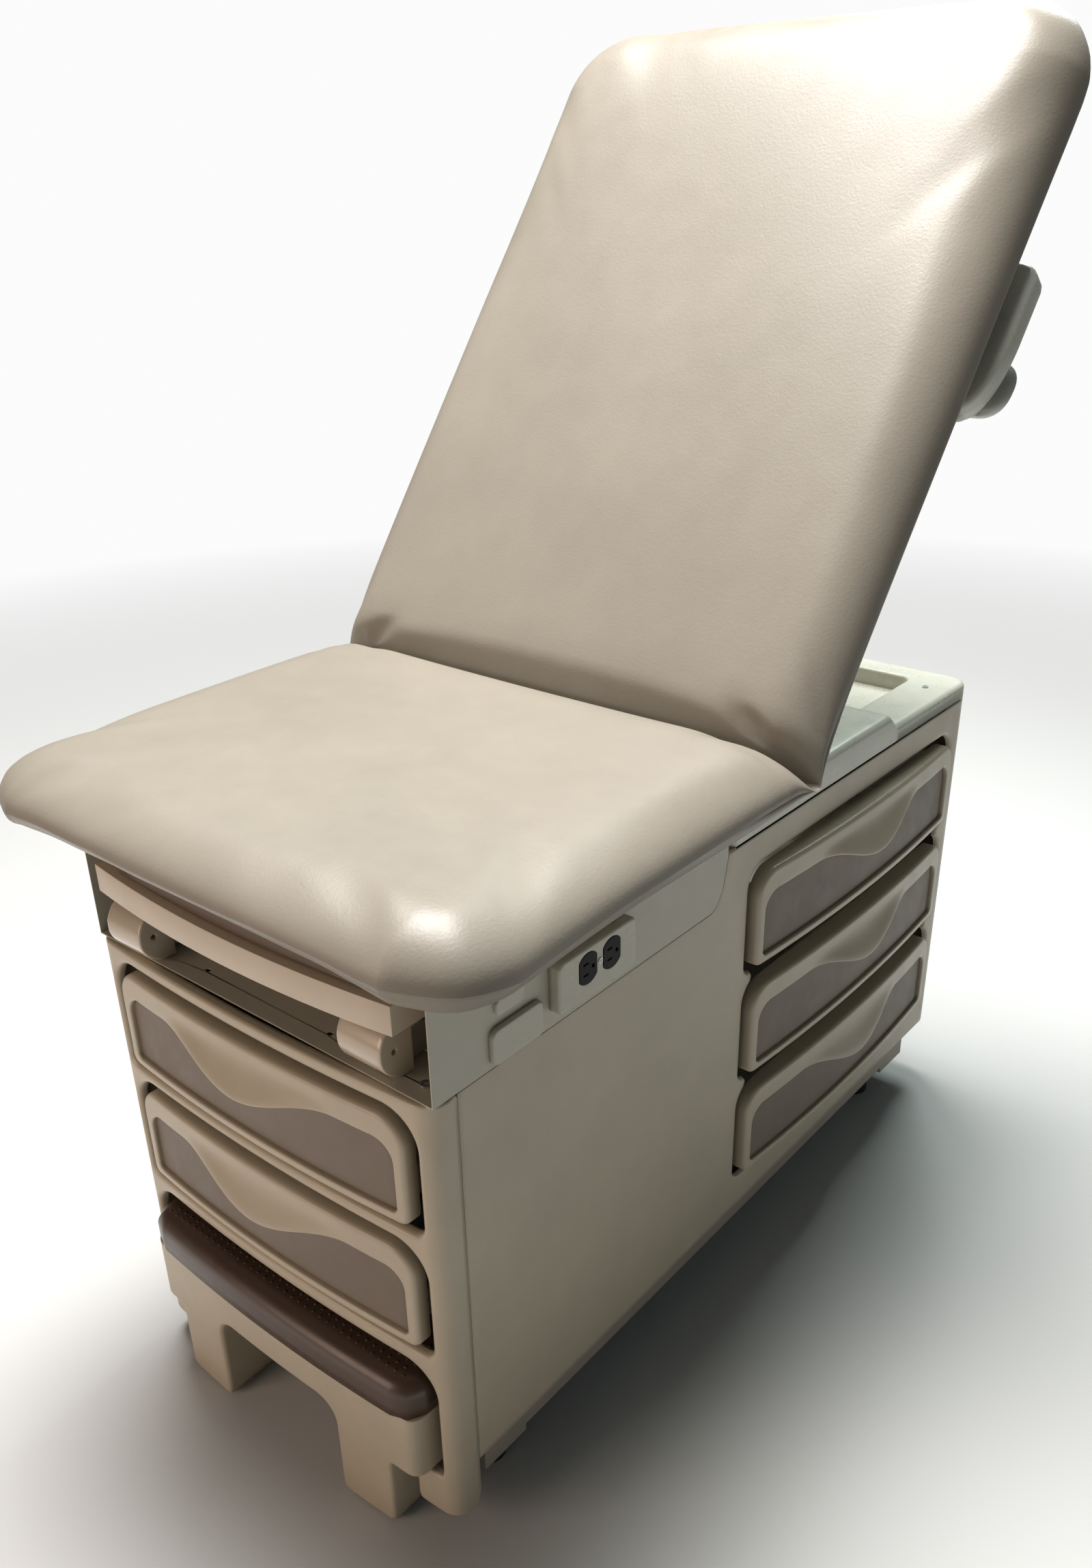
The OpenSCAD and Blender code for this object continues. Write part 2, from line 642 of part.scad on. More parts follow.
module riser_outline(inset) difference() {
  translate([-riser_half + inset, step_clear - 2 * inset])
    square([2 * (riser_half - inset), riser_top - step_clear + inset]);
  both() translate([leg_out - inset, -20]) square([60, notch_z + inset + 20]);
  translate([0, -40]) front_outline(2 * (leg_in + inset), arch_z + inset + 40, 28, 1);
}
module step_riser() color(plastic) difference() {
  intersection() {
    xz(front - 50, front + 34) riser_outline(0);
    xy(0, riser_top) intersection() {
      bowed(2 * riser_half + 2, riser_front, 10, front + 34);
      translate([0, riser_front - 10 + 200]) rounded(2 * riser_half, 400, 16);
    }
  }
  intersection() {
    xz(front - 50, front + 40) riser_outline(4);
    xy(0, riser_top - 4) bowed(440, riser_front + 5, 10, front + 40);
  }
}
tread_w = 2 * riser_half + 2;
tread_deep = 220;                          // how far the tread reaches behind the deck's front edge
nose = front - 40;                         // foremost line of the tread
module tread_side() {
  r = 20;                                  // upper and lower radius of the nose
  r_low = 8;
  translate([nose + r, step_top - r]) circle(r);
  translate([nose + r_low, riser_top + r_low]) circle(r_low);
  translate([nose, riser_top + r_low]) square([60, tread_t - r - r_low]);
  translate([nose + r_low, riser_top]) square([60, 20]);
  translate([nose + r, riser_top]) square([40, tread_t]);
  translate([front, step_top - 12]) square([tread_deep, 12]);
}
module step_tread() color(brown) intersection() {
  yz(-tread_w / 2, tread_w / 2) tread_side();
  xy(riser_top - 1, step_top + 1) intersection() {
    bowed(tread_w, nose + 10, 10, front + tread_deep);
    translate([0, nose + 150]) rounded(tread_w, 300, 30);
  }
}
module step_arms() color(steel) both() {
  block(205, 218, front + 35, front + 400, 190, 214);
  block(190, 206, front + 35, front + 215, 200, step_top - 12);
}
module step_rails() color(steel) both() {
  for (z = [186, 216]) block(207, 246.5, front + 60, front + 420, z, z + 2);
  block(219, 221.5, front + 60, front + 420, 188, 216);
}

// ---- assembly ------------------------------------------------------------

base_shell();
front_fascia();
plinth();
chassis();
frame_rails();
leveling_feet();
leveling_studs();
deck_housing();
seat_board();
seat_cushion();
top_cover();
hinge_brackets();
hinge_pins();
receptacle_plate();
receptacle();
receptacle_box();
blank_plate();
panel_screws();
stirrup_channels();
footrest_slides();
drawer_runners();
step_rails();
spring_mount();
power_inlet();
back_cushion();
back_board();
back_hinge_arms();
handle_housings();
spring_bracket();
release_cables();
lever_pins();
release_lever_r();
release_lever_l();
gas_cylinder();
gas_rod();
footrest_pan();
footrest_pad();
front_drawer_front(1);  // front_drawer_1_front
front_drawer_insert(1);  // front_drawer_1_insert
front_drawer_box(1);  // front_drawer_1_box
front_drawer_front(2);  // front_drawer_2_front
front_drawer_insert(2);  // front_drawer_2_insert
front_drawer_box(2);  // front_drawer_2_box
side_drawer_fronts(1);  // side_drawer_1_fronts
side_drawer_inserts(1);  // side_drawer_1_inserts
side_drawer_box(1);  // side_drawer_1_box
side_drawer_fronts(2);  // side_drawer_2_fronts
side_drawer_inserts(2);  // side_drawer_2_inserts
side_drawer_box(2);  // side_drawer_2_box
side_drawer_fronts(3);  // side_drawer_3_fronts
side_drawer_inserts(3);  // side_drawer_3_inserts
side_drawer_box(3);  // side_drawer_3_box
step_riser();
step_tread();
step_arms();
stirrup_bar_r();
stirrup_cap_r();
stirrup_bar_l();
stirrup_cap_l();
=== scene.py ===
import json
import math

import bpy
import numpy as np
from mathutils import Matrix, Vector


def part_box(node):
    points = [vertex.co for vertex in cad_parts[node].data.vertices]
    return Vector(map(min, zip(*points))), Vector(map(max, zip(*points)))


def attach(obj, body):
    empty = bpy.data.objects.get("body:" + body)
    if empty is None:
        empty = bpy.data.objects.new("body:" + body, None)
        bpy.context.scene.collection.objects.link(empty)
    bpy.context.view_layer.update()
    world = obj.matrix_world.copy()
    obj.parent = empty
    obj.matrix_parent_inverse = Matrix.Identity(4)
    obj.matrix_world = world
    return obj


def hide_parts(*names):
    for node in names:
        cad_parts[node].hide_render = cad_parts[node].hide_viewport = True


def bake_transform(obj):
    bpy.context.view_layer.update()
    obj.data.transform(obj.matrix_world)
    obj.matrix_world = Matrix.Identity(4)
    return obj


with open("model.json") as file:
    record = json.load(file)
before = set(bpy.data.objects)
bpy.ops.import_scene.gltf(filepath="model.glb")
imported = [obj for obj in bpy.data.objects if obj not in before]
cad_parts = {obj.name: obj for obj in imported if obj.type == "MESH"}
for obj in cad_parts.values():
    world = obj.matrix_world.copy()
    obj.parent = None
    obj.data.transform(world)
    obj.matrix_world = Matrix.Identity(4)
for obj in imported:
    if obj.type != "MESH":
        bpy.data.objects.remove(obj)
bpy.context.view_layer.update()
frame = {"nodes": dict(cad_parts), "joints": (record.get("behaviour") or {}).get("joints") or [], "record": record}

MM = 0.001
scene = bpy.context.scene
box = {n: tuple(np.array(c, float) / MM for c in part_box(n)) for n in frame["nodes"]}

# Lines of the CAD model, in millimetres, that several pieces share.
HALF = box["base_shell"][1][0]
REAR = box["base_shell"][1][1]
FRONT = box["deck_housing"][0][1]
SEAM_Z = box["base_shell"][1][2]
SEAT_LOW, SEAT_TOP = box["seat_cushion"][0][2], box["seat_cushion"][1][2]
COVER_SPARE = 5                            # the cover stands this far outside the cushions
CUSHION_HALF = box["seat_cushion"][1][0] + COVER_SPARE
DRAWER_GAP = 9.0                           # between a drawer's front and the rim of its opening
TILT = next(j for j in frame["joints"] if j["name"] == "back_tilt")
HINGE = np.array(TILT["pos_m"][1:], float) / MM
BACK_ANGLE = math.radians(-TILT["range_deg"][0])


# ---- camera ---------------------------------------------------------------

def add_camera():
    place = Vector((0.9466, -1.1724, 1.3233))
    azimuth, pitch, roll = (math.radians(a) for a in (40.8, 27.2, -1.6))
    right = Vector((math.cos(azimuth), math.sin(azimuth), 0))
    up = Vector((-math.sin(azimuth) * math.sin(pitch), math.cos(azimuth) * math.sin(pitch),
                 math.cos(pitch)))
    back = right.cross(up)
    turned = math.cos(roll) * right + math.sin(roll) * up
    up = -math.sin(roll) * right + math.cos(roll) * up
    data = bpy.data.cameras.new("camera")
    data.sensor_width = 36
    data.lens = 30.45
    data.shift_x, data.shift_y = 0.0092, 0.0499
    obj = bpy.data.objects.new("camera", data)
    scene.collection.objects.link(obj)
    obj.matrix_world = Matrix.Translation(place) @ Matrix((turned, up, back)).transposed().to_4x4()
    scene.camera = obj


add_camera()


# ---- materials ------------------------------------------------------------

def mix_in(tree, share, plain, shown, output):
    """Sends one shader to the output in place of the plain one, by a share from 0 to 1."""
    mix = tree.nodes.new("ShaderNodeMixShader")
    for source, target in zip((share, plain, shown), mix.inputs):
        tree.links.new(source, target)
    tree.links.new(mix.outputs[0], tree.nodes[output].inputs["Surface"])


LOOKS = {}             # every material by its name, which on the pieces is the slot's name


class Nodes:
    """Short calls for building one material's nodes."""

    def __init__(self, name):
        self.mat = LOOKS[name] = bpy.data.materials.new(name)
        self.mat.use_nodes = True
        self.tree = self.mat.node_tree
        self.shader = next(n for n in self.tree.nodes if n.type == "BSDF_PRINCIPLED")
        self.coords = self.add("ShaderNodeTexCoord").outputs["Object"]

    def add(self, kind, **values):
        node = self.tree.nodes.new(kind)
        for key, value in values.items():
            setattr(node, key, value)
        return node

    def link(self, out, socket):
        self.tree.links.new(out, socket)

    def scaled(self, scale):
        node = self.add("ShaderNodeMapping")
        node.inputs["Scale"].default_value = scale
        self.link(self.coords, node.inputs["Vector"])
        return node.outputs[0]

    def noise(self, scale, detail=2.0, rough=0.5, vector=None):
        node = self.add("ShaderNodeTexNoise")
        node.inputs["Scale"].default_value = scale
        node.inputs["Detail"].default_value = detail
        node.inputs["Roughness"].default_value = rough
        self.link(vector or self.coords, node.inputs["Vector"])
        return node.outputs["Fac"]

    def pebbles(self, scale, vector):
        node = self.add("ShaderNodeTexVoronoi", feature="SMOOTH_F1")
        node.inputs["Scale"].default_value = scale
        self.link(vector, node.inputs["Vector"])
        return node.outputs["Distance"]

    def remap(self, value, low, high, to_low, to_high):
        node = self.add("ShaderNodeMapRange")
        for key, number in (("From Min", low), ("From Max", high), ("To Min", to_low),
                            ("To Max", to_high)):
            node.inputs[key].default_value = number
        self.link(value, node.inputs["Value"])
        return node.outputs[0]

    def vary(self, value, low, high):
        """Stretches the middle of a noise's range over low to high."""
        return self.remap(value, 0.3, 0.7, low, high)

    def tint(self, value, dark, light):
        ramp = self.add("ShaderNodeValToRGB")
        ramp.color_ramp.elements[0].color = (*dark, 1)
        ramp.color_ramp.elements[1].color = (*light, 1)
        self.link(value, ramp.inputs[0])
        self.link(ramp.outputs[0], self.shader.inputs["Base Color"])

    def shades(self, value, colour, dark, light):
        """Base colour that varies between two shares of one colour."""
        self.tint(self.vary(value, 0, 1), [c * dark for c in colour], [c * light for c in colour])

    def roughness(self, value, low, high):
        self.link(self.vary(value, low, high), self.shader.inputs["Roughness"])

    def bump(self, layers):
        """layers: (height, depth in metres, strength), coarse first."""
        normal = None
        for height, depth, strength in layers:
            node = self.add("ShaderNodeBump")
            node.inputs["Distance"].default_value = depth
            node.inputs["Strength"].default_value = strength
            self.link(height, node.inputs["Height"])
            if normal:
                self.link(normal, node.inputs["Normal"])
            normal = node.outputs[0]
        self.link(normal, self.shader.inputs["Normal"])

    def fade_to_white(self, near, far, seen):
        """Beyond `near` metres the surface turns, to the eye only, into the white of the backdrop."""
        away = self.add("ShaderNodeVectorMath", operation="LENGTH")
        self.link(self.coords, away.inputs[0])
        share = self.add("ShaderNodeMath", operation="MULTIPLY")
        self.link(self.remap(away.outputs["Value"], near, far, 0, 1), share.inputs[0])
        self.link(self.add("ShaderNodeLightPath").outputs["Is Camera Ray"], share.inputs[1])
        glow = self.add("ShaderNodeEmission")
        glow.inputs["Strength"].default_value = seen
        mix_in(self.tree, share.outputs[0], self.shader.outputs[0], glow.outputs[0], "Material Output")

    def fixed(self, **values):
        for key, value in values.items():
            self.shader.inputs[key.replace("_", " ")].default_value = value


def moulded(name, colour, rough, grain=700, grain_depth=0.00012, spread=0.06, coat=0.0, ior=1.5):
    """Injection-moulded or painted surface: orange peel, faint mottling, uneven gloss."""
    n = Nodes(name)
    n.shades(n.noise(9, 5, 0.62), colour, 1 - spread, 1 + spread)
    n.roughness(n.noise(38, 4, 0.6), rough - 0.05, rough + 0.06)
    n.bump([(n.noise(22, 2, 0.4), 0.0009, 0.10), (n.noise(grain, 2, 0.5), grain_depth, 0.55)])
    n.fixed(Coat_Weight=coat, Coat_Roughness=0.12, IOR=ior)


def leather(name, colour, rough):
    """Upholstery vinyl: pebbled grain with fine creases, satin finish, faint wear."""
    n = Nodes(name)
    grain = 430
    n.shades(n.noise(5.5, 4, 0.6), colour, 0.93, 1.05)
    n.roughness(n.noise(26, 5, 0.6), rough - 0.03, rough + 0.05)
    n.bump([(n.noise(30, 3, 0.5), 0.0006, 0.12), (n.noise(grain * 0.55, 4, 0.65), 0.00035, 0.35),
            (n.pebbles(grain, n.scaled((1.0, 0.72, 0.85))), 0.00022, 0.45)])
    n.fixed(IOR=1.44)


def metal(name, colour, rough, spangle=0.08):
    """Zinc-plated or polished steel with fine drawn lines and slight stains."""
    n = Nodes(name)
    n.shades(n.noise(18, 5, 0.6), colour, 1 - spangle, 1 + spangle)
    lines = n.noise(420, 3, 0.6, n.scaled((1.0, 14.0, 1.0)))
    n.roughness(lines, max(0.03, rough - 0.07), rough + 0.08)
    n.bump([(lines, 0.00006, 0.35)])
    n.fixed(Metallic=1.0)


def plywood(name, colour):
    """Birch plywood: layers seen along the edges and long grain on the faces."""
    n = Nodes(name)
    grain = n.noise(60, 6, 0.62, n.scaled((1.0, 0.08, 6.0)))
    n.shades(grain, colour, 0.72, 1.15)
    n.roughness(grain, 0.55, 0.75)
    n.bump([(grain, 0.0003, 0.5)])


PAINT = {"grain": 1500, "grain_depth": 0.00008, "spread": 0.03}
moulded("shell_plastic", (0.455, 0.39, 0.29), 0.34)
moulded("cover_plastic", (0.58, 0.575, 0.50), 0.3, grain=600)
moulded("plinth_plastic", (0.36, 0.32, 0.26), 0.55)
moulded("insert_plastic", (0.168, 0.127, 0.093), 0.5, grain=1100, grain_depth=0.0002)
moulded("tread_plastic", (0.075, 0.044, 0.030), 0.34, grain=900, grain_depth=0.00016, coat=0.08)
moulded("cap_plastic", (0.50, 0.42, 0.32), 0.2, grain=300, grain_depth=0.0001, coat=0.5)
moulded("lever_plastic", (0.36, 0.35, 0.31), 0.26, grain=300, coat=0.3)
moulded("housing_paint", (0.47, 0.44, 0.36), 0.4, **PAINT)
moulded("pan_paint", (0.55, 0.47, 0.37), 0.4, **PAINT)
moulded("drawer_box_paint", (0.50, 0.48, 0.43), 0.42, **PAINT)
leather("vinyl", (0.262, 0.234, 0.192), 0.40)
leather("pad_vinyl", (0.13, 0.09, 0.065), 0.42)
plywood("board_wood", (0.45, 0.33, 0.20))
metal("zinc_steel", (0.55, 0.56, 0.57), 0.34)
moulded("spring_black", (0.02, 0.02, 0.022), 0.2, coat=0.6)
metal("rod_chrome", (0.82, 0.82, 0.84), 0.1, spangle=0.02)
moulded("outlet_beige", (0.50, 0.47, 0.38), 0.3, grain=400, spread=0.03)
moulded("outlet_dark", (0.012, 0.012, 0.012), 0.3, grain=400, ior=1.15)
moulded("foot_rubber", (0.03, 0.03, 0.03), 0.75, grain=500, spread=0.15)
moulded("cable_black", (0.02, 0.02, 0.02), 0.5, grain=500)

SLOT_OF = {s["node"]: s["material_slot"] for s in frame["record"]["subparts"]}


def finish_piece(obj, slot, body, nodes=()):
    """Gives a new piece its material, the nodes it stands for and the body it rides on."""
    obj.data.materials.clear()
    obj.data.materials.append(LOOKS[slot])
    if nodes:
        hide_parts(*nodes)
    if body:
        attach(obj, body)
    return obj


# ---- mesh building --------------------------------------------------------

def new_mesh(name, verts_mm, faces, smooth=True):
    mesh = bpy.data.meshes.new(name)
    mesh.from_pydata((np.asarray(verts_mm, float) * MM).tolist(), [],
                     [list(map(int, f)) for f in faces])
    if smooth:
        mesh.shade_smooth()
    mesh.validate()
    obj = bpy.data.objects.new(name, mesh)
    scene.collection.objects.link(obj)
    return obj


def arc(cx, cz, r, a0, a1, n=14):
    a = np.radians(np.linspace(a0, a1, n + 1))
    return np.stack([cx + r * np.cos(a), cz + r * np.sin(a)], 1)


def round_box(x0, x1, z0, z1, r_top, r_low):
    """Outline of a rectangle with its own radius at the top and bottom corners."""
    return np.concatenate([
        arc(x1 - r_low, z0 + r_low, r_low, -90, 0), arc(x1 - r_top, z1 - r_top, r_top, 0, 90),
        arc(x0 + r_top, z1 - r_top, r_top, 90, 180), arc(x0 + r_low, z0 + r_low, r_low, 180, 270)])


class Outline:
    """Closed outlines of one flat area. Each point carries the radius of the edge there."""

    BATCH = 3000        # points compared with the outline at a time, to spare memory

    def __init__(self, *loops):
        a, b, ra, rb = [], [], [], []
        for points, radius in loops:
            p = np.asarray(points, float)
            r = np.broadcast_to(np.asarray(radius, float), len(p))
            a.append(p)
            b.append(np.roll(p, -1, 0))
            ra.append(r)
            rb.append(np.roll(r, -1))
        self.a, self.b = np.concatenate(a), np.concatenate(b)
        self.ra, self.rb = np.concatenate(ra), np.concatenate(rb)
        keep = np.linalg.norm(self.b - self.a, axis=1) > 1e-6
        self.a, self.b, self.ra, self.rb = (v[keep] for v in (self.a, self.b, self.ra, self.rb))

    def nearest(self, points):
        """For each point: nearest outline point, inward unit direction, edge radius, depth inside."""
        points = np.asarray(points, float)
        near, inward = np.empty_like(points), np.empty_like(points)
        radius, depth = np.empty(len(points)), np.empty(len(points))
        d = self.b - self.a
        dd = (d * d).sum(1)
        for i in range(0, len(points), self.BATCH):
            p = points[i:i + self.BATCH]
            t = np.clip(((p[:, None] - self.a) * d).sum(2) / dd, 0, 1)
            c = self.a + t[..., None] * d
            dist = np.linalg.norm(p[:, None] - c, axis=2)
            k = dist.argmin(1)
            row = np.arange(len(p))
            c, dist, t = c[row, k], dist[row, k], t[row, k]
            ay, by = self.a[:, 1], self.b[:, 1]
            y = p[:, 1, None]
            crosses = (ay > y) != (by > y)
            with np.errstate(divide="ignore", invalid="ignore"):
                at = self.a[:, 0] + (y - ay) * d[:, 0] / (by - ay)
            inside = (crosses & (p[:, 0, None] < at)).sum(1) % 2 == 1
            sign = np.where(inside, 1.0, -1.0)
            normal = (p - c) / np.maximum(dist, 1e-9)[:, None] * sign[:, None]
            batch = slice(i, i + len(p))
            near[batch], inward[batch] = c, normal
            radius[batch] = self.ra[k] * (1 - t) + self.rb[k] * t
            depth[batch] = dist * sign
        return near, inward, radius, depth


def plate(name, outline, us, vs, place, thick, steps=5, low_radius=0.0, flatten=1.0, stretch=1.0,
          closed=True):
    """Shell of a moulded part. The outline lies in (u, v); place(u, v, w) gives the point w below
    the outer surface, and thick is how deep the edges reach. Edges are rounded by the outline's
    radii, squashed by flatten. The lower edges are rounded by low_radius, stretched inwards."""
    us, vs = np.asarray(us, float), np.asarray(vs, float)
    nu, nv = len(us), len(vs)
    grid = np.stack(np.meshgrid(us, vs, indexing="ij"), 2).reshape(-1, 2)
    centre = np.stack(np.meshgrid((us[1:] + us[:-1]) / 2, (vs[1:] + vs[:-1]) / 2,
                                  indexing="ij"), 2).reshape(-1, 2)
    _, _, r, inside = outline.nearest(centre)
    keep = (inside > r).reshape(nu - 1, nv - 1)
    i, j = np.nonzero(keep)
    quads = np.stack([i * nv + j, (i + 1) * nv + j, (i + 1) * nv + j + 1, i * nv + j + 1], 1)
    used = np.unique(quads)
    index = -np.ones(nu * nv, int)
    index[used] = np.arange(len(used))
    quads, flat = index[quads], grid[used]
    edges = np.concatenate([quads[:, [0, 1]], quads[:, [1, 2]], quads[:, [2, 3]], quads[:, [3, 0]]])
    twin = set(map(tuple, edges.tolist()))
    rim = np.array([e for e in edges.tolist() if (e[1], e[0]) not in twin])
    rim_points = np.unique(rim)
    near, inward, r, _ = outline.nearest(flat[rim_points])
    flat[rim_points] = near + inward * r[:, None]
    local = -np.ones(len(flat), int)
    local[rim_points] = np.arange(len(rim_points))
    ra, rb = local[rim[:, 0]], local[rim[:, 1]]

    count = len(flat)
    blocks = [place(*flat.T, np.zeros(count))]
    faces = [tuple(q) for q in quads]
    last = rim_points
    total = count

    def ring(points, w):
        nonlocal last, total
        blocks.append(place(*points.T, w))
        now = total + np.arange(len(rim_points))
        faces.extend(zip(last[rb], last[ra], now[ra], now[rb]))
        last, total = now, total + len(rim_points)

    def depth(points):
        return thick(*points.T) if callable(thick) else np.full(len(points), float(thick))

    full = depth(near)
    for k in range(1, steps + 1):
        a = math.pi / 2 * k / steps
        ring(near + inward * (r * (1 - math.sin(a)))[:, None], flatten * r * (1 - math.cos(a)))
    ring(near, (flatten * r + full - low_radius) / 2)
    ring(near, full - low_radius)
    if low_radius:
        for k in range(1, steps + 1):
            a = math.pi / 2 * k / steps
            ring(near + inward * low_radius * stretch * (1 - math.cos(a)),
                 full - low_radius * (1 - math.sin(a)))
    if closed:
        blocks.append(place(*flat.T, depth(flat)))
        now = total + rim_points
        faces.extend(zip(last[rb], last[ra], now[ra], now[rb]))
        faces.extend(tuple(q[::-1] + total) for q in quads)
    return new_mesh(name, np.concatenate(blocks), faces)


def spaced(low, high, step):
    return np.linspace(low, high, max(2, int(round((high - low) / step))) + 1)


def edge_lines(low, high, step, fine, reach):
    """Grid lines that lie closer together within `reach` of both ends."""
    return np.unique(np.concatenate([
        spaced(low, low + reach, fine), spaced(low + reach, high - reach, step),
        spaced(high - reach, high, fine)]).round(4))


def positions(obj):
    """The mesh's points, in millimetres."""
    co = np.empty(len(obj.data.vertices) * 3)
    obj.data.vertices.foreach_get("co", co)
    return co.reshape(-1, 3) / MM


def smooth(t):
    """Soft step from 0 at t = 0 to 1 at t = 1."""
    t = np.clip(t, 0, 1)
    return t * t * (3 - 2 * t)


def bell(distance, width):
    """1 where the distance is 0, fading on both sides."""
    return np.exp(-(distance / width) ** 2)


def back_point(s, t):
    """(y, z) of the point s along the back from the hinge and t out of its top face."""
    return HINGE + s[:, None] * ALONG + t[:, None] * NORMAL


def bow(x, half, depth):
    """How far a front bowed by `depth` over its half width stands out at x."""
    return depth * (1 - (x / half) ** 2)


class Wrap:
    """Plan path made of straight and round stretches, for panels that turn corners."""

    def __init__(self, points, from_middle=False):
        self.p = np.asarray(points, float)
        step = np.linalg.norm(np.diff(self.p, axis=0), axis=1)
        self.u = np.concatenate([[0], np.cumsum(step)])
        tangent = np.gradient(self.p, self.u, axis=0)
        tangent /= np.linalg.norm(tangent, axis=1)[:, None]
        self.n = np.stack([tangent[:, 1], -tangent[:, 0]], 1)
        self.start = self.where(0.0) if from_middle else 0.0

    def at(self, u, w):
        """Plan point at distance u along the path from its start, w inside it."""
        u = u + self.start
        x = np.interp(u, self.u, self.p[:, 0]) - w * np.interp(u, self.u, self.n[:, 0])
        y = np.interp(u, self.u, self.p[:, 1]) - w * np.interp(u, self.u, self.n[:, 1])
        return x, y

    def place(self, u, v, w):
        return np.column_stack([*self.at(u, w), v])

    def where(self, x):
        """Distance along the whole path where it first crosses x."""
        s = self.p[:, 0] - x
        k = np.nonzero(s[:-1] * s[1:] <= 0)[0][0]
        return self.u[k] + (self.u[k + 1] - self.u[k]) * s[k] / (s[k] - s[k + 1])


def linked(name, source, turn):
    """Another piece with the same mesh, placed by a matrix."""
    obj = bpy.data.objects.new(name, source.data)
    scene.collection.objects.link(obj)
    obj.matrix_world = turn
    return obj


# ---- upholstery -----------------------------------------------------------

NORMAL = np.array([-math.sin(BACK_ANGLE), math.cos(BACK_ANGLE)])   # out of the back's top face
ALONG = np.array([math.cos(BACK_ANGLE), math.sin(BACK_ANGLE)])     # from the hinge to the head
SQUARE_ON = np.array([-math.sin(BACK_ANGLE / 2), math.cos(BACK_ANGLE / 2)])   # up the fold's middle
ACROSS = np.array([math.cos(BACK_ANGLE / 2), math.sin(BACK_ANGLE / 2)])       # from seat to back
TOP_T = SEAT_TOP - HINGE[1]                                        # top face above the hinge
BACK_LEN = 928.0                                                   # hinge to the head's edge
SEAT_FRONT = box["seat_cushion"][0][1] - 6
SEAT_LEN = HINGE[0] - SEAT_FRONT
COVER_LEN = SEAT_LEN + BACK_LEN
COVER_THICK = SEAT_TOP - SEAT_LOW
BOW = 16.0                                                         # of the seat's front edge
CORNER_FRONT, CORNER_HEAD, EDGE_ROLL = 85.0, 115.0, 68.0           # radii of the cover
BOARD_T, BACK_TAPER = 9.5, 0.04            # underside of the back's padding, and its slope
CREASE, CREASE_HALF, ROLL_SEAT, ROLL_BACK = 36.0, 2.2, 34.0, 48.0  # the fold at the hinge


def fold_profile():
    """Side view of the top surface through the fold: where it begins and ends along the flat
    cover, and its (y, z) points with their distances along the fold."""
    reach = TOP_T / math.cos(BACK_ANGLE / 2)
    turn = math.pi / 2 - BACK_ANGLE / 2
    wall = -SQUARE_ON

    def roll(r, side):
        """Round from the top face down to the middle of the fold; side -1 seat, +1 back."""
        face = np.array([1.0, 0.0]) if side < 0 else -ALONG
        out = np.array([0.0, 1.0]) if side < 0 else NORMAL
        corner = HINGE + SQUARE_ON * reach + ACROSS * side * CREASE_HALF
        corner = corner - wall * (((corner - HINGE) @ out - TOP_T) / (wall @ out))
        start = corner - face * (r * math.tan(turn / 2))
        centre = start - out * r
        a = np.linspace(0, turn, 15)
        return start, [centre + r * (out * math.cos(t) + face * math.sin(t)) for t in a]

    start_s, arc_s = roll(ROLL_SEAT, -1)
    start_b, arc_b = roll(ROLL_BACK, 1)
    bottom = HINGE + SQUARE_ON * CREASE
    lip, aside = SQUARE_ON * 5, ACROSS * CREASE_HALF * 0.8
    p = np.array(arc_s + [bottom + lip - aside, bottom, bottom + lip + aside] + arc_b[::-1])
    length = np.concatenate([[0], np.cumsum(np.linalg.norm(np.diff(p, axis=0), axis=1))])
    l0 = SEAT_LEN - (HINGE[0] - start_s[0])
    l1 = SEAT_LEN + float((start_b - HINGE) @ ALONG)
    return l0, l1, length, p


FOLD_L0, FOLD_L1, FOLD_PATH, FOLD_POINTS = fold_profile()


def cover_top(l):
    """Top surface of the whole cover at distance l from the seat's front edge."""
    seat = np.stack([SEAT_FRONT + l, np.full_like(l, SEAT_TOP)], 1)
    back = back_point(l - SEAT_LEN, np.full_like(l, TOP_T))
    t = np.clip((l - FOLD_L0) / (FOLD_L1 - FOLD_L0), 0, 1) * FOLD_PATH[-1]
    fold = np.stack([np.interp(t, FOLD_PATH, FOLD_POINTS[:, k]) for k in (0, 1)], 1)
    return np.where((l < FOLD_L0)[:, None], seat, np.where((l > FOLD_L1)[:, None], back, fold))


def cover_low(l):
    """Underside of the whole cover at distance l from the seat's front edge."""
    turn_half, seat_z = 26.0, SEAT_LOW + 0.5

    def seat(l):
        return np.stack([SEAT_FRONT + l, np.full_like(l, seat_z)], 1)

    def back(s):
        return back_point(s, BOARD_T - BACK_TAPER * s)

    s = l - SEAT_LEN
    t = smooth((s + turn_half) / (2 * turn_half))[:, None]
    mid = seat(np.minimum(l, SEAT_LEN - turn_half + 14)) * (1 - t) + back(np.maximum(s, 12.0)) * t
    low = np.where((s < -turn_half)[:, None], seat(l), np.where((s > turn_half)[:, None], back(s), mid))
    return low + 15 * bell(s, 42.0)[:, None] * SQUARE_ON


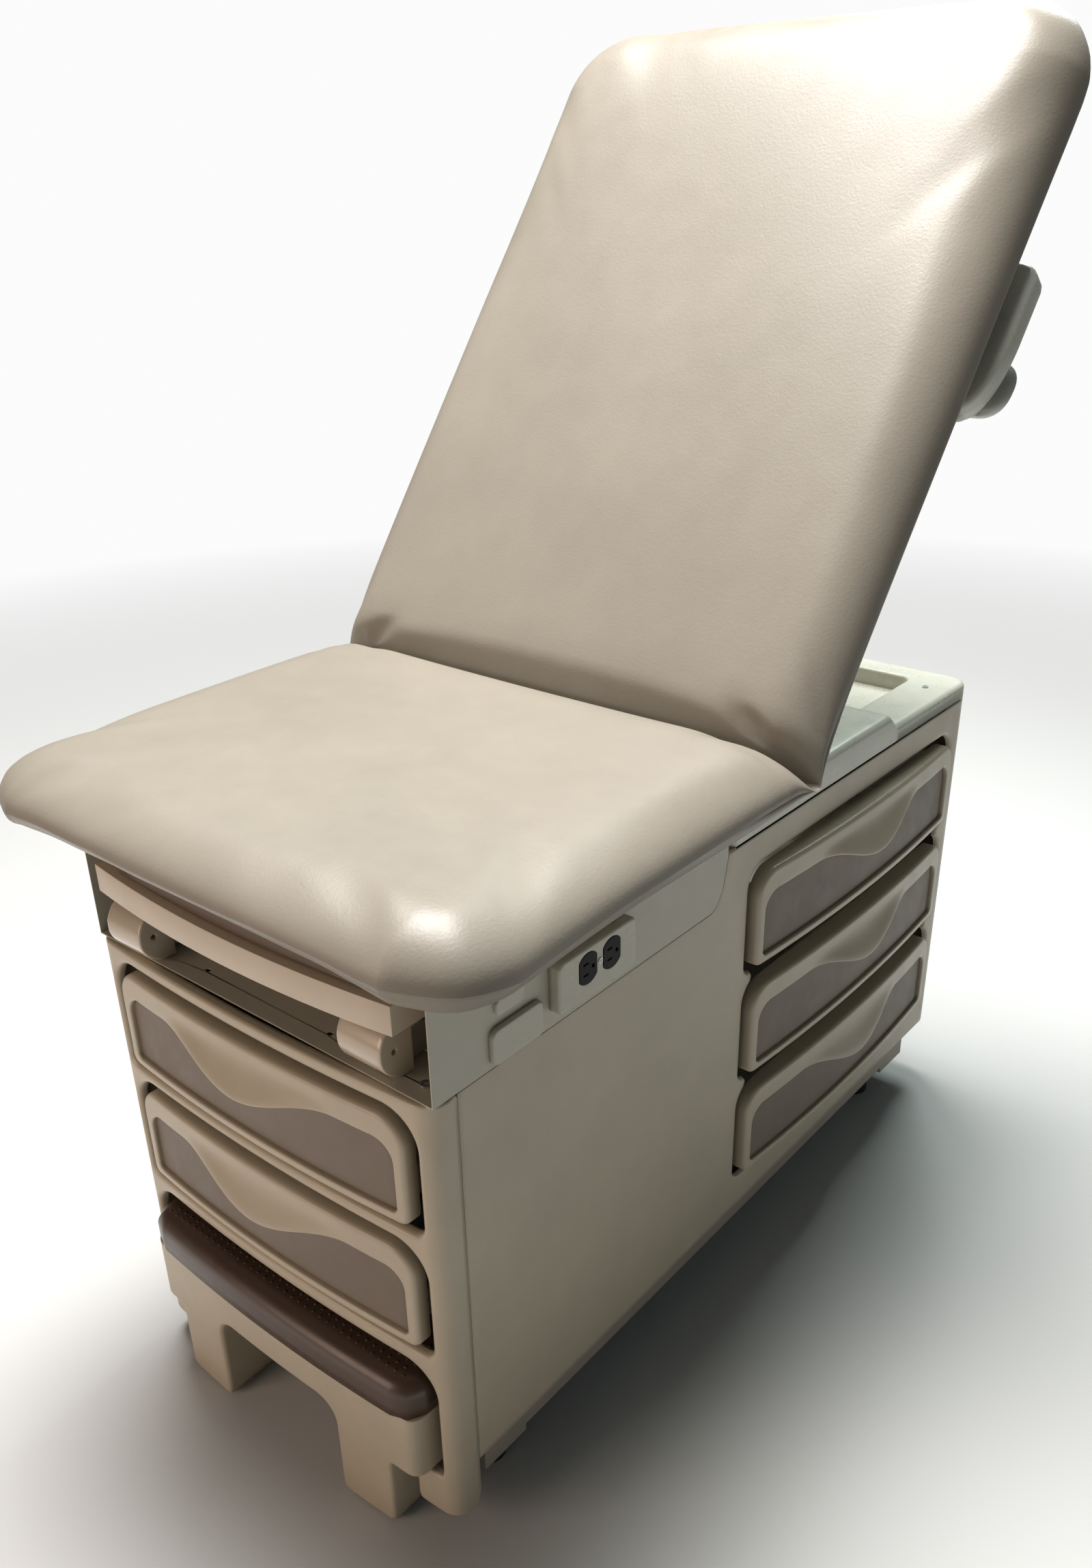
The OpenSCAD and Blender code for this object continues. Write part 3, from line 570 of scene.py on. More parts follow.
def swell(obj, pressure, cap_mm, hold):
    """Inflates a closed cover with the cloth solver, moves no point further than the cap and
    keeps the points to hold, which lie on the board, where they are."""
    rest = positions(obj)
    group = obj.vertex_groups.new(name="hold")
    for i in np.nonzero(hold)[0]:
        group.add([int(i)], 1.0, "REPLACE")
    cloth = obj.modifiers.new("Cloth", "CLOTH")
    solver = cloth.settings
    solver.use_pressure = True
    solver.uniform_pressure_force = pressure
    solver.effector_weights.gravity = 0
    solver.vertex_group_mass = "hold"
    solver.quality = 5
    solver.tension_stiffness = solver.compression_stiffness = 40
    solver.bending_stiffness = 2.0
    cloth.collision_settings.use_collision = False
    for f in range(1, 21):
        scene.frame_set(f)
    step = positions(obj.evaluated_get(bpy.context.evaluated_depsgraph_get())) - rest
    obj.modifiers.remove(cloth)
    scene.frame_set(1)
    size = np.linalg.norm(step, axis=1)
    limit = cap_mm * np.tanh(size / cap_mm) / np.maximum(size, 1e-6)
    obj.data.vertices.foreach_set("co", ((rest + step * limit[:, None]) * MM).ravel())
    obj.data.update()
    obj.vertex_groups.clear()


def cover_outline():
    """Plan of the cover laid flat: bowed front edge, round corners, straight head."""
    front, head = CUSHION_HALF - CORNER_FRONT, CUSHION_HALF - CORNER_HEAD
    xs = np.linspace(-front, front, 40)
    edge = np.stack([xs, BOW - bow(xs, CUSHION_HALF, BOW)], 1)
    front_y, head_y = edge[0, 1] + CORNER_FRONT, COVER_LEN - CORNER_HEAD
    return np.concatenate([
        edge, arc(front, front_y, CORNER_FRONT, -90, 0, 24), arc(head, head_y, CORNER_HEAD, 0, 90, 28),
        arc(-head, head_y, CORNER_HEAD, 90, 180, 28), arc(-front, front_y, CORNER_FRONT, 180, 270, 24)])


def cover_point(u, v, w):
    """Point of the cover at (u, v) on its plan, w below its top surface."""
    share = np.clip(w / COVER_THICK, 0, 1)
    side, from_fold = np.abs(u), v - SEAT_LEN
    out = np.where((from_fold < 0)[:, None], [0.0, 1.0], NORMAL)

    # Crowned top, pressed in a little where a back leans.
    crown = 4.0 * (1 - np.clip(side / CUSHION_HALF, 0, 1) ** 2.6) * (1 - bell(from_fold, 60.0))
    dent = 3.0 * bell(from_fold - 560, 150) * bell(u + 40, 120)
    top = cover_top(v) + out * ((crown - dent) * (1 - share))[:, None]

    # The underside hangs a little at the front corners and is drawn up between them.
    corner = smooth((side - 190) / 130)
    hang = 10 * corner * smooth((260 - v) / 180) - 7 * (1 - corner) * smooth((120 - v) / 90)
    low = cover_low(v) - np.array([0.0, 1.0]) * hang[:, None]
    p = top + (low - top) * share[:, None]

    # Gathers of the cover round its corners, strongest on the lower half of the side.
    zone = 150.0
    end = np.minimum(v, COVER_LEN - v)
    corner = smooth((side - (CUSHION_HALF - 130)) / 60) * smooth((zone - end) / 80)
    angle = np.arctan2(np.maximum(zone - end, 0), np.maximum(side - (CUSHION_HALF - zone), 1e-3))
    ripple = 1.3 * corner * bell(share - 0.72, 0.22) * np.sin(angle * 34 + 1.7 * np.sin(angle * 9))
    x = u + np.sign(u) * ripple * 0.8
    p = p + out * (ripple * 0.5)[:, None]

    # The cover is pulled down into the ends of the fold, with two tucks beside each end.
    pull = 13 * bell(from_fold, 48.0) * smooth((side - 215) / 135)
    tuck = bell(from_fold + 62, 9.0) + 0.8 * bell(from_fold + 96, 12.0)
    tuck = tuck * smooth((side - (CUSHION_HALF - 90)) / 70)
    p = p - out * ((pull + 2.2 * tuck) * (1 - share))[:, None]
    x = x - np.sign(u) * 1.6 * tuck * smooth(share * 2)
    return np.column_stack([x, p])


def add_cover():
    near_fold, coarse, fine = 12, 12, 2.6
    vs = np.unique(np.concatenate([
        spaced(0, FOLD_L0 - near_fold, coarse), spaced(FOLD_L0 - near_fold, FOLD_L1 + near_fold, fine),
        spaced(FOLD_L1 + near_fold, COVER_LEN, coarse)]).round(3))
    obj = plate("upholstery", Outline((cover_outline(), EDGE_ROLL)),
                edge_lines(-CUSHION_HALF, CUSHION_HALF, 13, 9, 130), vs, cover_point, COVER_THICK,
                steps=9, low_radius=22.0, flatten=0.56, stretch=2.6)
    co = positions(obj)
    rel = co[:, 1:] - HINGE
    across = rel @ ACROSS
    over_board = np.where(across < 0, co[:, 2] - SEAT_LOW,
                          rel @ NORMAL - (BOARD_T - 0.5 - BACK_TAPER * (rel @ ALONG)))
    swell(obj, 4.0, 7.0, (over_board < 3) | (np.abs(across) < 7))
    smoother = obj.modifiers.new("subdivide", "SUBSURF")
    smoother.levels = smoother.render_levels = 1
    finish_piece(obj, "vinyl", None, ("seat_cushion", "back_cushion"))
    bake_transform(obj)


def add_footrest_pad():
    low, high = box["footrest_pad"]
    forward, proud, crown_h = 9, 7, 1.5    # the pad shows above and in front of its CAD solid
    half, z0, z1 = high[0] + 4, low[2], high[2] + proud
    y0, y1 = low[1] - forward, high[1]
    sag, r, r_rear = 14.0, 34.0, 12.0
    xs = np.linspace(-(half - r), half - r, 30)
    front = np.stack([xs, y0 + sag - bow(xs, half, sag)], 1)
    lift = front[0, 1] + r
    outline = np.concatenate([
        front, arc(half - r, lift, r, -90, 0), arc(half - r_rear, y1 - r_rear, r_rear, 0, 90),
        arc(-half + r_rear, y1 - r_rear, r_rear, 90, 180), arc(-half + r, lift, r, 180, 270)])
    thick = z1 - z0 - 0.4

    def place(u, v, w):
        crown = crown_h * (1 - (u / half) ** 2) * (1 - np.clip(w / thick, 0, 1))
        return np.column_stack([u, v, z1 - w + crown - crown_h])

    obj = plate("footrest_cushion", Outline((outline, 11.0)), spaced(-half, half, 11),
                spaced(y0, y1, 11), place, thick - crown_h, steps=6, low_radius=5.0)
    swell(obj, 3.0, 2.5, positions(obj)[:, 2] < z0 + 3)
    finish_piece(obj, "pad_vinyl", "footrest", ("footrest_pad",))


# ---- drawers --------------------------------------------------------------

PULL_HALF = 128.0                      # half width of the moulded pull
INSERT_LOW = box["front_drawer_1_insert"][0][2] - box["front_drawer_1_front"][0][2]
INSERT_TOP = box["front_drawer_1_insert"][1][2] - box["front_drawer_1_front"][0][2]
BAND = box["front_drawer_1_insert"][0][0] - box["front_drawer_1_front"][0][0]
FACE_END, FACE_BOW = -9.0, 12.0        # the front's face at its ends, and how far it bows out
FRONT_DIP, SIDE_DIP = 30.0, 32.0       # how far the insert's top edge dips under the pull


def wave(x, dip):
    """Height of the insert's top edge, which dips under the pull."""
    x = np.minimum(np.abs(x), PULL_HALF)
    return INSERT_TOP - dip * (1 + np.cos(np.pi * x / PULL_HALF)) / 2


def insert_outline(width, dip, inset=0.0):
    h, r_low, r_top = width / 2 - inset, 7, 24
    xs = np.linspace(PULL_HALF, -PULL_HALF, 70)
    top = np.stack([xs, wave(xs, dip) - inset], 1)
    z_low, z_top = INSERT_LOW + inset + r_low, INSERT_TOP - inset - r_top
    return np.concatenate([
        arc(h - r_low, z_low, r_low, -90, 0, 8), arc(h - r_top, z_top, r_top, 0, 90, 12), top,
        arc(-h + r_top, z_top, r_top, 90, 180, 12), arc(-h + r_low, z_low, r_low, 180, 270, 8)])


def drawer_meshes(tag, node, width, dip):
    """Frame with its moulded pull, and the insert behind it, drawn about x = 0 facing -Y."""
    half, height = width / 2, box[node][1][2] - box[node][0][2]
    frame_edge, hole_edge, rim, deepest = 5.6, 2.6, 14, 8.0
    area = Outline((round_box(-half, half, 0, height, 34, 12), frame_edge),
                   (insert_outline(width - 2 * BAND, dip), hole_edge))

    def face(u, v):
        """The front's surface: bowed, with a lip that swells out over the middle of the pull."""
        grow = np.clip(1 - (u / (PULL_HALF + 6)) ** 2, 0, 1) ** 1.5
        start = wave(u, dip)
        t = np.clip((v - start) / (height - rim - start), 0, 1)
        lip = 15.5 * grow * (1 - smooth(t ** 0.8)) * (v > start - 2)
        return FACE_END - bow(u, half, FACE_BOW) - lip

    def place(u, v, w):
        return np.column_stack([u, np.minimum(face(u, v) + w, deepest), v])

    def insert_place(u, v, w):
        return np.column_stack([u, FACE_END - bow(u, half, FACE_BOW) + 5.0 + w, v])

    frame_mesh = plate(f"{tag}_frame", area, edge_lines(-half, half, 4, 1.7, 42),
                       edge_lines(0, height, 3, 1.6, 20), place, 40.0)
    insert = plate(f"{tag}_panel", Outline((insert_outline(width - 2 * BAND, dip, 0.3), 0.8)),
                   spaced(-half, half, 9), spaced(0, height, 4), insert_place, 1.8, steps=2)
    return frame_mesh, insert


def add_drawers():
    for tag, count, sides in (("front_drawer", 2, ()), ("side_drawer", 3, (1, -1))):
        plural, wide, dip = ("s", 1, SIDE_DIP) if sides else ("", 0, FRONT_DIP)
        low, high = box[f"{tag}_1_front{plural}"]
        sources = drawer_meshes(tag, f"{tag}_1_front{plural}", high[wide] - low[wide], dip)
        mid = (low[1] + high[1]) / 2
        for k in range(1, count + 1):
            body = f"{tag}_{k}"
            z = box[f"{body}_front{plural}"][0][2]
            for side in sides or (0,):
                suffix = {0: "", 1: "_right", -1: "_left"}[side]
                turn = Matrix.Translation((0, FRONT * MM, z * MM))
                if side:
                    turn = (Matrix.Translation((0, mid * MM, z * MM))
                            @ Matrix.Rotation(side * math.pi / 2, 4, "Z")
                            @ Matrix.Translation((0, -HALF * MM, 0)))
                kinds = (("face", "shell_plastic", "front"), ("panel", "insert_plastic", "insert"))
                for source, (part, slot, node) in zip(sources, kinds):
                    obj = linked(f"{body}_{part}{suffix}", source, turn)
                    finish_piece(obj, slot, body, (f"{body}_{node}{plural}",))
        for source in sources:
            bpy.data.objects.remove(source)


# ---- cabinet --------------------------------------------------------------

def rim(*stretches):
    """Outline put together from stretches, each given as its points and its edge radius."""
    points = np.concatenate([np.asarray(p, float) for p, _ in stretches])
    return points, np.concatenate([np.full(len(p), float(r)) for p, r in stretches])


def mirrored(points, radii):
    """One half of an outline, and its mirror image back to the start."""
    return np.concatenate([points, points[::-1] * [-1, 1]]), np.concatenate([radii, radii[::-1]])


def bowed_front(half, r, y, depth, y_end, count, corner_steps):
    """Plan path of a bowed front between its two round corners, from left to right."""
    xs = np.linspace(-(half - r), half - r, count)
    front = np.stack([xs, y - bow(xs, half, depth) + bow(half - r, half, depth)], 1)
    right = np.concatenate([arc(half - r, y + r, r, -90, 0, corner_steps), [[half, y_end]]])
    return Wrap(np.concatenate([right[::-1] * [-1, 1], front[1:-1], right]), from_middle=True)


def add_fascia():
    path = bowed_front(HALF, 24.0, FRONT - 5, 12.0, FRONT + 31.5, 60, 12)
    edge = path.u[-1] / 2
    z0, z1 = box["front_fascia"][0][2], box["front_fascia"][1][2]

    def at(x):
        return path.where(x) - path.start

    foot_in, foot_top, arch_in, arch_top, arch_r = at(197), 96.0, at(234), 249.0, 40.0
    opening_half, opening_top_r, opening_low_r = at(234.5), 42, 14
    soft, foot_edge, seam = 7.0, 5.0, 1.2
    loops = [mirrored(*rim(
        ([[-edge + 60, z1]], soft * 0.6), (arc(-edge + 3, z1 - 3, 3, 90, 180, 5), seam),
        ([[-edge, z0 + 30]], seam), (arc(-edge + 12, z0 + 12, 12, 180, 270, 8), 4.0),
        (arc(-foot_in - 8, z0 + 8, 8, -90, 0, 8), foot_edge),
        (arc(-foot_in - 14, foot_top - 14, 14, 0, 90, 8), foot_edge),
        ([[-arch_in + 1, foot_top]], foot_edge), ([[-arch_in, foot_top + 8]], soft),
        (arc(-arch_in + arch_r, arch_top - arch_r, arch_r, 180, 90, 12), soft)))]
    for k in (1, 2):
        low, high = box[f"front_drawer_{k}_front"]
        loops.append((round_box(-opening_half, opening_half, low[2] - DRAWER_GAP, high[2] + DRAWER_GAP,
                                opening_top_r, opening_low_r), soft))
    obj = plate("fascia_panel", Outline(*loops), spaced(-edge, edge, 5), spaced(z0, z1, 5),
                path.place, 12.0)
    finish_piece(obj, "shell_plastic", "base", ("front_fascia",))


def add_shell():
    r = 25.0
    y0 = box["base_shell"][0][1]
    path = Wrap(np.concatenate([
        [[HALF, y0]], arc(HALF - r, REAR - r, r, 0, 90, 12), arc(-HALF + r, REAR - r, r, 90, 180, 12),
        [[-HALF, y0]]]))
    # The long straight stretches need points of their own for an even normal.
    dense = np.concatenate([np.linspace(path.u[i], path.u[i + 1], 12, endpoint=False)
                            for i in range(len(path.u) - 1)] + [[path.u[-1]]])
    path = Wrap(np.stack([np.interp(dense, path.u, path.p[:, k]) for k in (0, 1)], 1))
    total = path.u[-1]
    z0, z1, z_front = box["base_shell"][0][2], SEAM_Z, box["front_fascia"][1][2] + 0.2
    # Behind the seat's housing, which laps over the side, the top edge steps up to the seam.
    step_up = [[y + FRONT - y0, z] for y, z in ((450, 590.3), (458, 595), (471, 613), (479.5, 650),
                                                (479.5, z1))]
    outer = np.array([[0, z0], [total, z0], [total, z_front]] + [[total - u, z] for u, z in step_up]
                     + step_up[::-1] + [[0, z_front]])
    seam, soft = 1.2, 6.5
    loops = [(outer, seam)]
    for k in (1, 2, 3):
        low, high = box[f"side_drawer_{k}_fronts"]
        u0, u1 = low[1] - DRAWER_GAP - y0, high[1] + DRAWER_GAP - y0
        for a, b in ((u0, u1), (total - u1, total - u0)):
            loops.append((round_box(a, b, low[2] - DRAWER_GAP, high[2] + DRAWER_GAP, 30, 14), soft))
    low, high = box["power_inlet"]
    u_in, z_in = path.where((low[0] + high[0]) / 2), (low[2] + high[2]) / 2
    loops.append((round_box(u_in - 26, u_in + 26, z_in - 17, z_in + 17, 4, 4), seam))
    obj = plate("cabinet_shell", Outline(*loops), spaced(0, total, 7), spaced(z0, z1, 6.5),
                path.place, 6.0)
    finish_piece(obj, "shell_plastic", "base", ("base_shell",))


def add_top_cover():
    low, high = box["top_cover"]
    y0, y1, z0, z1 = low[1], high[1], low[2], high[2]
    r, soft = 25.0, 9.0
    split, fall = FRONT + 874, 19          # where the top drops to the tray's level, and how far
    well, wing = 186.0, 206.0              # half widths of the well and of the gap in front of it
    tray_y0, tray_y1 = FRONT + 902, REAR - 45

    def top(v):
        return z1 - fall * smooth((v - split + 12) / 26)

    outer = np.concatenate([
        [[HALF, y0]], arc(HALF - r, y1 - r, r, 0, 90), arc(-HALF + r, y1 - r, r, 90, 180),
        [[-HALF, y0], [-wing, y0], [-wing, y0 + 2], [wing, y0 + 2], [wing, y0]]])
    hole = round_box(-well, well, FRONT + 486, FRONT + 890, 8, 3)
    tray = round_box(-well, well, tray_y0, tray_y1, 14, 14)

    def place(u, v, w):
        return np.column_stack([u, v, np.maximum(top(v) - w, z0)])

    obj = plate("rear_cover", Outline((outer, soft), (hole, 3.0), (tray, 4.0)), spaced(-HALF, HALF, 5),
                spaced(y0, y1, 4), place, 45.0, closed=False)
    finish_piece(obj, "cover_plastic", "base", ("top_cover",))

    def tray_place(u, v, w):
        return np.column_stack([u, v, z0 + 1.5 - w])

    half, tray_y0, tray_y1 = well + 2, tray_y0 - 2, tray_y1 + 2
    floor = plate("rear_tray_floor", Outline((round_box(-half, half, tray_y0, tray_y1, 14, 14), 0.5)),
                  spaced(-half, half, 12), spaced(tray_y0, tray_y1, 12), tray_place, 1.5, steps=1)
    finish_piece(floor, "cover_plastic", "base")


# ---- step -----------------------------------------------------------------

STEP_BOW = 10.0


def add_step_riser():
    low, high = box["step_riser"]
    half, z0, z1, y_end = high[0], low[2], high[2], high[1]
    path = bowed_front(half, 16.0, low[1] + STEP_BOW, STEP_BOW, y_end, 50, 10)
    edge = path.u[-1] / 2
    leg_in, leg_out, notch, arch, arch_r, leg_r = 100.0, 182.0, 100.0, 134.0, 28.0, 10
    shown, soft, turn = 4.0, 6.0, 5.0
    outline = mirrored(*rim(
        ([[-edge, z1], [-edge, notch]], 1.0), ([[-edge + 45, notch]], 2.0),
        ([[-leg_out - 6, notch]], turn), (arc(-leg_out - 4, notch - 4, 4, 90, 0, 4), turn),
        (arc(-leg_out + leg_r, z0 + leg_r, leg_r, 180, 270, 6), soft),
        (arc(-leg_in - leg_r, z0 + leg_r, leg_r, 270, 360, 6), soft),
        (arc(-leg_in + arch_r, arch - arch_r, arch_r, 180, 90, 10), soft)))

    def place(u, v, w):
        """The front's thickness, and between the corners the walls behind it as deep as the step."""
        x, y = path.at(u, np.minimum(w, shown))
        deep = np.abs(u) < half - 12
        return np.column_stack([x, np.where(deep, np.minimum(y + np.maximum(w - shown, 0), y_end), y), v])

    obj = plate("step_front", Outline(outline), spaced(-edge, edge, 5), spaced(z0, z1, 4), place,
                90.0, closed=False)
    finish_piece(obj, "shell_plastic", "step", ("step_riser",))


def add_step_tread():
    low, high = box["step_tread"]
    half, z0, z1, y0, y1 = high[0], low[2], high[2], low[1], high[1]
    r, nose = 30.0, 20.0
    xs = np.linspace(-(half - r), half - r, 40)[20:]
    front = np.stack([xs, y0 + STEP_BOW - bow(xs, half, STEP_BOW)], 1)
    side = FRONT + 34
    outline = mirrored(*rim(
        (front, nose), (arc(half - r, front[-1, 1] + r, r, -90, 0, 16), nose), ([[half, side]], 16),
        ([[half, side + 26]], 3), ([[half, y1]], 2)))

    def thick(u, v):
        return np.where(v > FRONT + 18, 12.0, z1 - z0)

    def place(u, v, w):
        return np.column_stack([u, v, z1 - w])

    tread = plate("step_board", Outline(outline), spaced(-half, half, 8), spaced(y0, y1, 6), place,
                  thick, steps=8)
    finish_piece(tread, "tread_plastic", "step", ("step_tread",))
    add_tread_dots(half - 22, y0 + 27, y1 - 14, z1)


def add_tread_dots(x_end, y_start, y_end, z):
    """Rows of small domes, each row shifted by half a pitch."""
    pitch_x, pitch_y, dot_r, dot_h, sides = 11.6, 9, 2.3, 0.9, 10
    rings = ((0.45, 0.86), (0.8, 0.5), (1.0, -0.2))        # share of the radius, share of the height
    dots, faces = [], []
    for row in range(16):
        y = y_start + row * pitch_y
        for col in range(-17, 18):
            x = col * pitch_x + (pitch_x / 2 if row % 2 else 0)
            if abs(x) > x_end or y > y_end:
                continue
            n = len(dots)
            dots.append((x, y, z + dot_h))
            for share, height in rings:
                for k in range(sides):
                    a = 2 * math.pi * k / sides
                    dots.append((x + dot_r * share * math.cos(a), y + dot_r * share * math.sin(a),
                                 z + dot_h * height))
            for k in range(sides):
                t = (k + 1) % sides
                faces.append((n, n + 1 + k, n + 1 + t))
                for ring in (0, 1):
                    a, b = n + 1 + ring * sides, n + 1 + (ring + 1) * sides
                    faces.append((a + k, b + k, b + t, a + t))
    finish_piece(new_mesh("step_board_dots", dots, faces), "tread_plastic", "step")


# ---- small moulded parts --------------------------------------------------

def softened(name, node, voxel_mm, rounds, slot, body):
    """Copy of a CAD node with its edges rounded off."""
    obj = bpy.data.objects.new(name, frame["nodes"][node].data.copy())
    scene.collection.objects.link(obj)
    for key, kind in (("remesh", "REMESH"), ("smooth", "SMOOTH")):
        m = obj.modifiers.new(key, kind)
        if kind == "REMESH":
            m.mode, m.voxel_size = "VOXEL", voxel_mm * MM
        else:
            m.factor, m.iterations = 0.5, rounds
    mesh = bpy.data.meshes.new_from_object(obj.evaluated_get(bpy.context.evaluated_depsgraph_get()))
    obj.modifiers.clear()
    obj.data = mesh
    mesh.shade_smooth()
    return finish_piece(obj, slot, body, (node,))


HANDLE_LOW, HANDLE_TOP, HANDLE_OUT = 455.0, 643.0, CUSHION_HALF + 3    # along the back, and outwards
HANDLE_BEND, HANDLE_TIP = 96.0, 22.0       # length of the bend at the lower end and at the tip
HANDLE_END, HANDLE_ROOT = 326.0, 285.0     # reach at both ends, and where the housing's taper starts


def handle_reach(s, low=HANDLE_LOW, top=HANDLE_TOP):
    """How far out a release handle reaches at height s: a long bend below, a short one above."""
    below = ((low + HANDLE_BEND - s) / HANDLE_BEND).clip(0, 1)
    above = ((s - top + HANDLE_TIP) / HANDLE_TIP).clip(0, 1)
    return HANDLE_END + (HANDLE_OUT - HANDLE_END) * ((1 - below ** 2) * (1 - above ** 2)) ** 0.42


def add_handle_face(name, side):
    """Crescent-shaped rim of a release handle, sticking out under the cushion's edge."""
    s0, s1, inner, edge = HANDLE_LOW + 3, HANDLE_TOP - 5, 304.0, 6.5
    bend = 1 - np.cos(np.linspace(0, math.pi / 2, 30))
    s = np.concatenate([s0 + HANDLE_BEND * bend, s1 - HANDLE_TIP * bend[::-1]])
    outline = np.concatenate([[[inner, s0]], np.stack([handle_reach(s, s0, s1), s], 1), [[inner, s1]]])

    def place(u, v, w):
        crown = 1.5 * (1 - ((u - 335) / 30) ** 2).clip(0)
        return np.column_stack([side * u, back_point(v, BOARD_T - 2 - BACK_TAPER * v + crown - w)])

    obj = plate(name, Outline((outline, edge)), edge_lines(inner, HANDLE_OUT, edge, 2, 8),
                edge_lines(s0, s1, edge, 2, 10), place, 26.0)
    if side < 0:
        obj.data.flip_normals()
    finish_piece(obj, "cover_plastic", "backrest")


def taper_housing(obj):
    """Draws the release handles' housings in towards their rear, so that only the rim stands out."""
    middle, x_taper, s_taper = 548, 0.62, 0.42
    co = positions(obj)
    s, out = (co[:, 1:] - HINGE) @ ALONG, (co[:, 1:] - HINGE) @ NORMAL
    rear = smooth((-out - 34) / 30)
    width = np.abs(co[:, 0])
    share = (1 - x_taper * rear) * (handle_reach(s) - HANDLE_ROOT) / (HANDLE_OUT - HANDLE_ROOT)
    x = np.sign(co[:, 0]) * np.where(width > HANDLE_ROOT, HANDLE_ROOT + (width - HANDLE_ROOT) * share, width)
    s = middle + (s - middle) * (1 - s_taper * rear)
    obj.data.vertices.foreach_set("co", (np.column_stack([x, back_point(s, out)]) * MM).ravel())


def add_lever(side):
    """Rounded grip of a squeeze lever, bulging out under the handle's rim."""
    sign = 1 if side == "r" else -1
    middle, size, tilt, power = (331, 510, -62), (29, 37, 22), -6, 0.82
    rows, turns = 28, 44

    def shaped(v):
        return np.sign(v) * np.abs(v) ** power

    a = np.linspace(-math.pi / 2, math.pi / 2, rows)[:, None]
    b = np.linspace(0, 2 * math.pi, turns, endpoint=False)[None, :]
    across = (shaped(np.sin(a)) * np.ones_like(b)).ravel()
    along = (shaped(np.cos(a)) * shaped(np.cos(b))).ravel()
    down = (shaped(np.cos(a)) * shaped(np.sin(b))).ravel()
    s = middle[1] + size[1] * along + tilt * down
    t = middle[2] + size[2] * down + tilt * along
    points = np.column_stack([sign * (middle[0] + size[0] * across), back_point(s, t)])
    k = np.arange(rows * turns).reshape(rows, turns)
    beside = np.roll(k, -1, 1)
    faces = np.stack([k[:-1], beside[:-1], beside[1:], k[1:]], -1).reshape(-1, 4)
    obj = new_mesh(f"lever_grip_{side}", points, faces)
    if sign < 0:
        obj.data.flip_normals()
    finish_piece(obj, "lever_plastic", f"lever_{side}", (f"release_lever_{side}",))


def add_small_parts():
    for side in "rl":
        softened(f"support_cap_{side}", f"stirrup_cap_{side}", 1.4, 7, "cap_plastic",
                 f"foot_support_{side}")
        add_lever(side)
    taper_housing(softened("handle_covers", "handle_housings", 1.8, 12, "cover_plastic", "backrest"))
    add_handle_face("handle_face_right", 1)
    add_handle_face("handle_face_left", -1)


def side_plate(node, loops, thick, sunk_above=math.inf, sunk=0.0):
    """Plate on the cabinet's right side, a little lower above the height sunk_above."""
    low, high = box[node]

    def place(u, v, w):
        out = high[0] - np.where(v > sunk_above, sunk, 0.0)
        return np.column_stack([np.maximum(out - w, HALF + 0.2), u, v])

    obj = plate(f"{node}_cover", Outline(*loops), spaced(low[1], high[1], 2.5),
                spaced(low[2], high[2], 2.5), place, thick, steps=4)
    finish_piece(obj, "outlet_beige", "base", (node,))


def add_plates():
    low, high = box["receptacle_plate"]
    loops = [(round_box(low[1], high[1], low[2], high[2], 9, 9), 3.5)]
    middle = (box["receptacle"][0] + box["receptacle"][1]) / 2
    hole_r, hole_half, hole_pitch = 17.6, 14.1, 38
    a = np.radians(np.linspace(0, 360, 49)[:-1])
    for y in (middle[1] - hole_pitch / 2, middle[1] + hole_pitch / 2):
        loops.append((np.stack([y + np.clip(hole_r * np.cos(a), -hole_half, hole_half),
                                middle[2] + hole_r * np.sin(a)], 1), 0.6))
    side_plate("receptacle_plate", loops, 13.8)

    low, high = box["blank_plate"]
    plate_h, strip_y, strip_len, strip_h = 40, low[1] + 9, 40, 18
    side_plate("blank_plate", [
        (round_box(low[1], high[1], low[2], low[2] + plate_h, 9, 9), 2.5),
        (round_box(strip_y, strip_y + strip_len, high[2] - strip_h, high[2], 6, 6), 1.5)],
        5.8, sunk_above=high[2] - strip_h - 1, sunk=2.0)


# ---- what is shown of the CAD ---------------------------------------------

def dress_nodes():
    """Gives every shown CAD node its material and fine bevels."""
    for name, obj in frame["nodes"].items():
        if obj.hide_render:
            continue
        obj.data.materials.clear()
        obj.data.materials.append(LOOKS[SLOT_OF[name]])
        weld = obj.modifiers.new("weld", "WELD")
        weld.merge_threshold = 0.02 * MM
        bevel = obj.modifiers.new("bevel", "BEVEL")
        bevel.width, bevel.segments = 0.7 * MM, 2
        bevel.limit_method, bevel.angle_limit = "ANGLE", math.radians(40)


# ---- floor and light ------------------------------------------------------

BACKDROP = 0.97        # how white the backdrop is seen


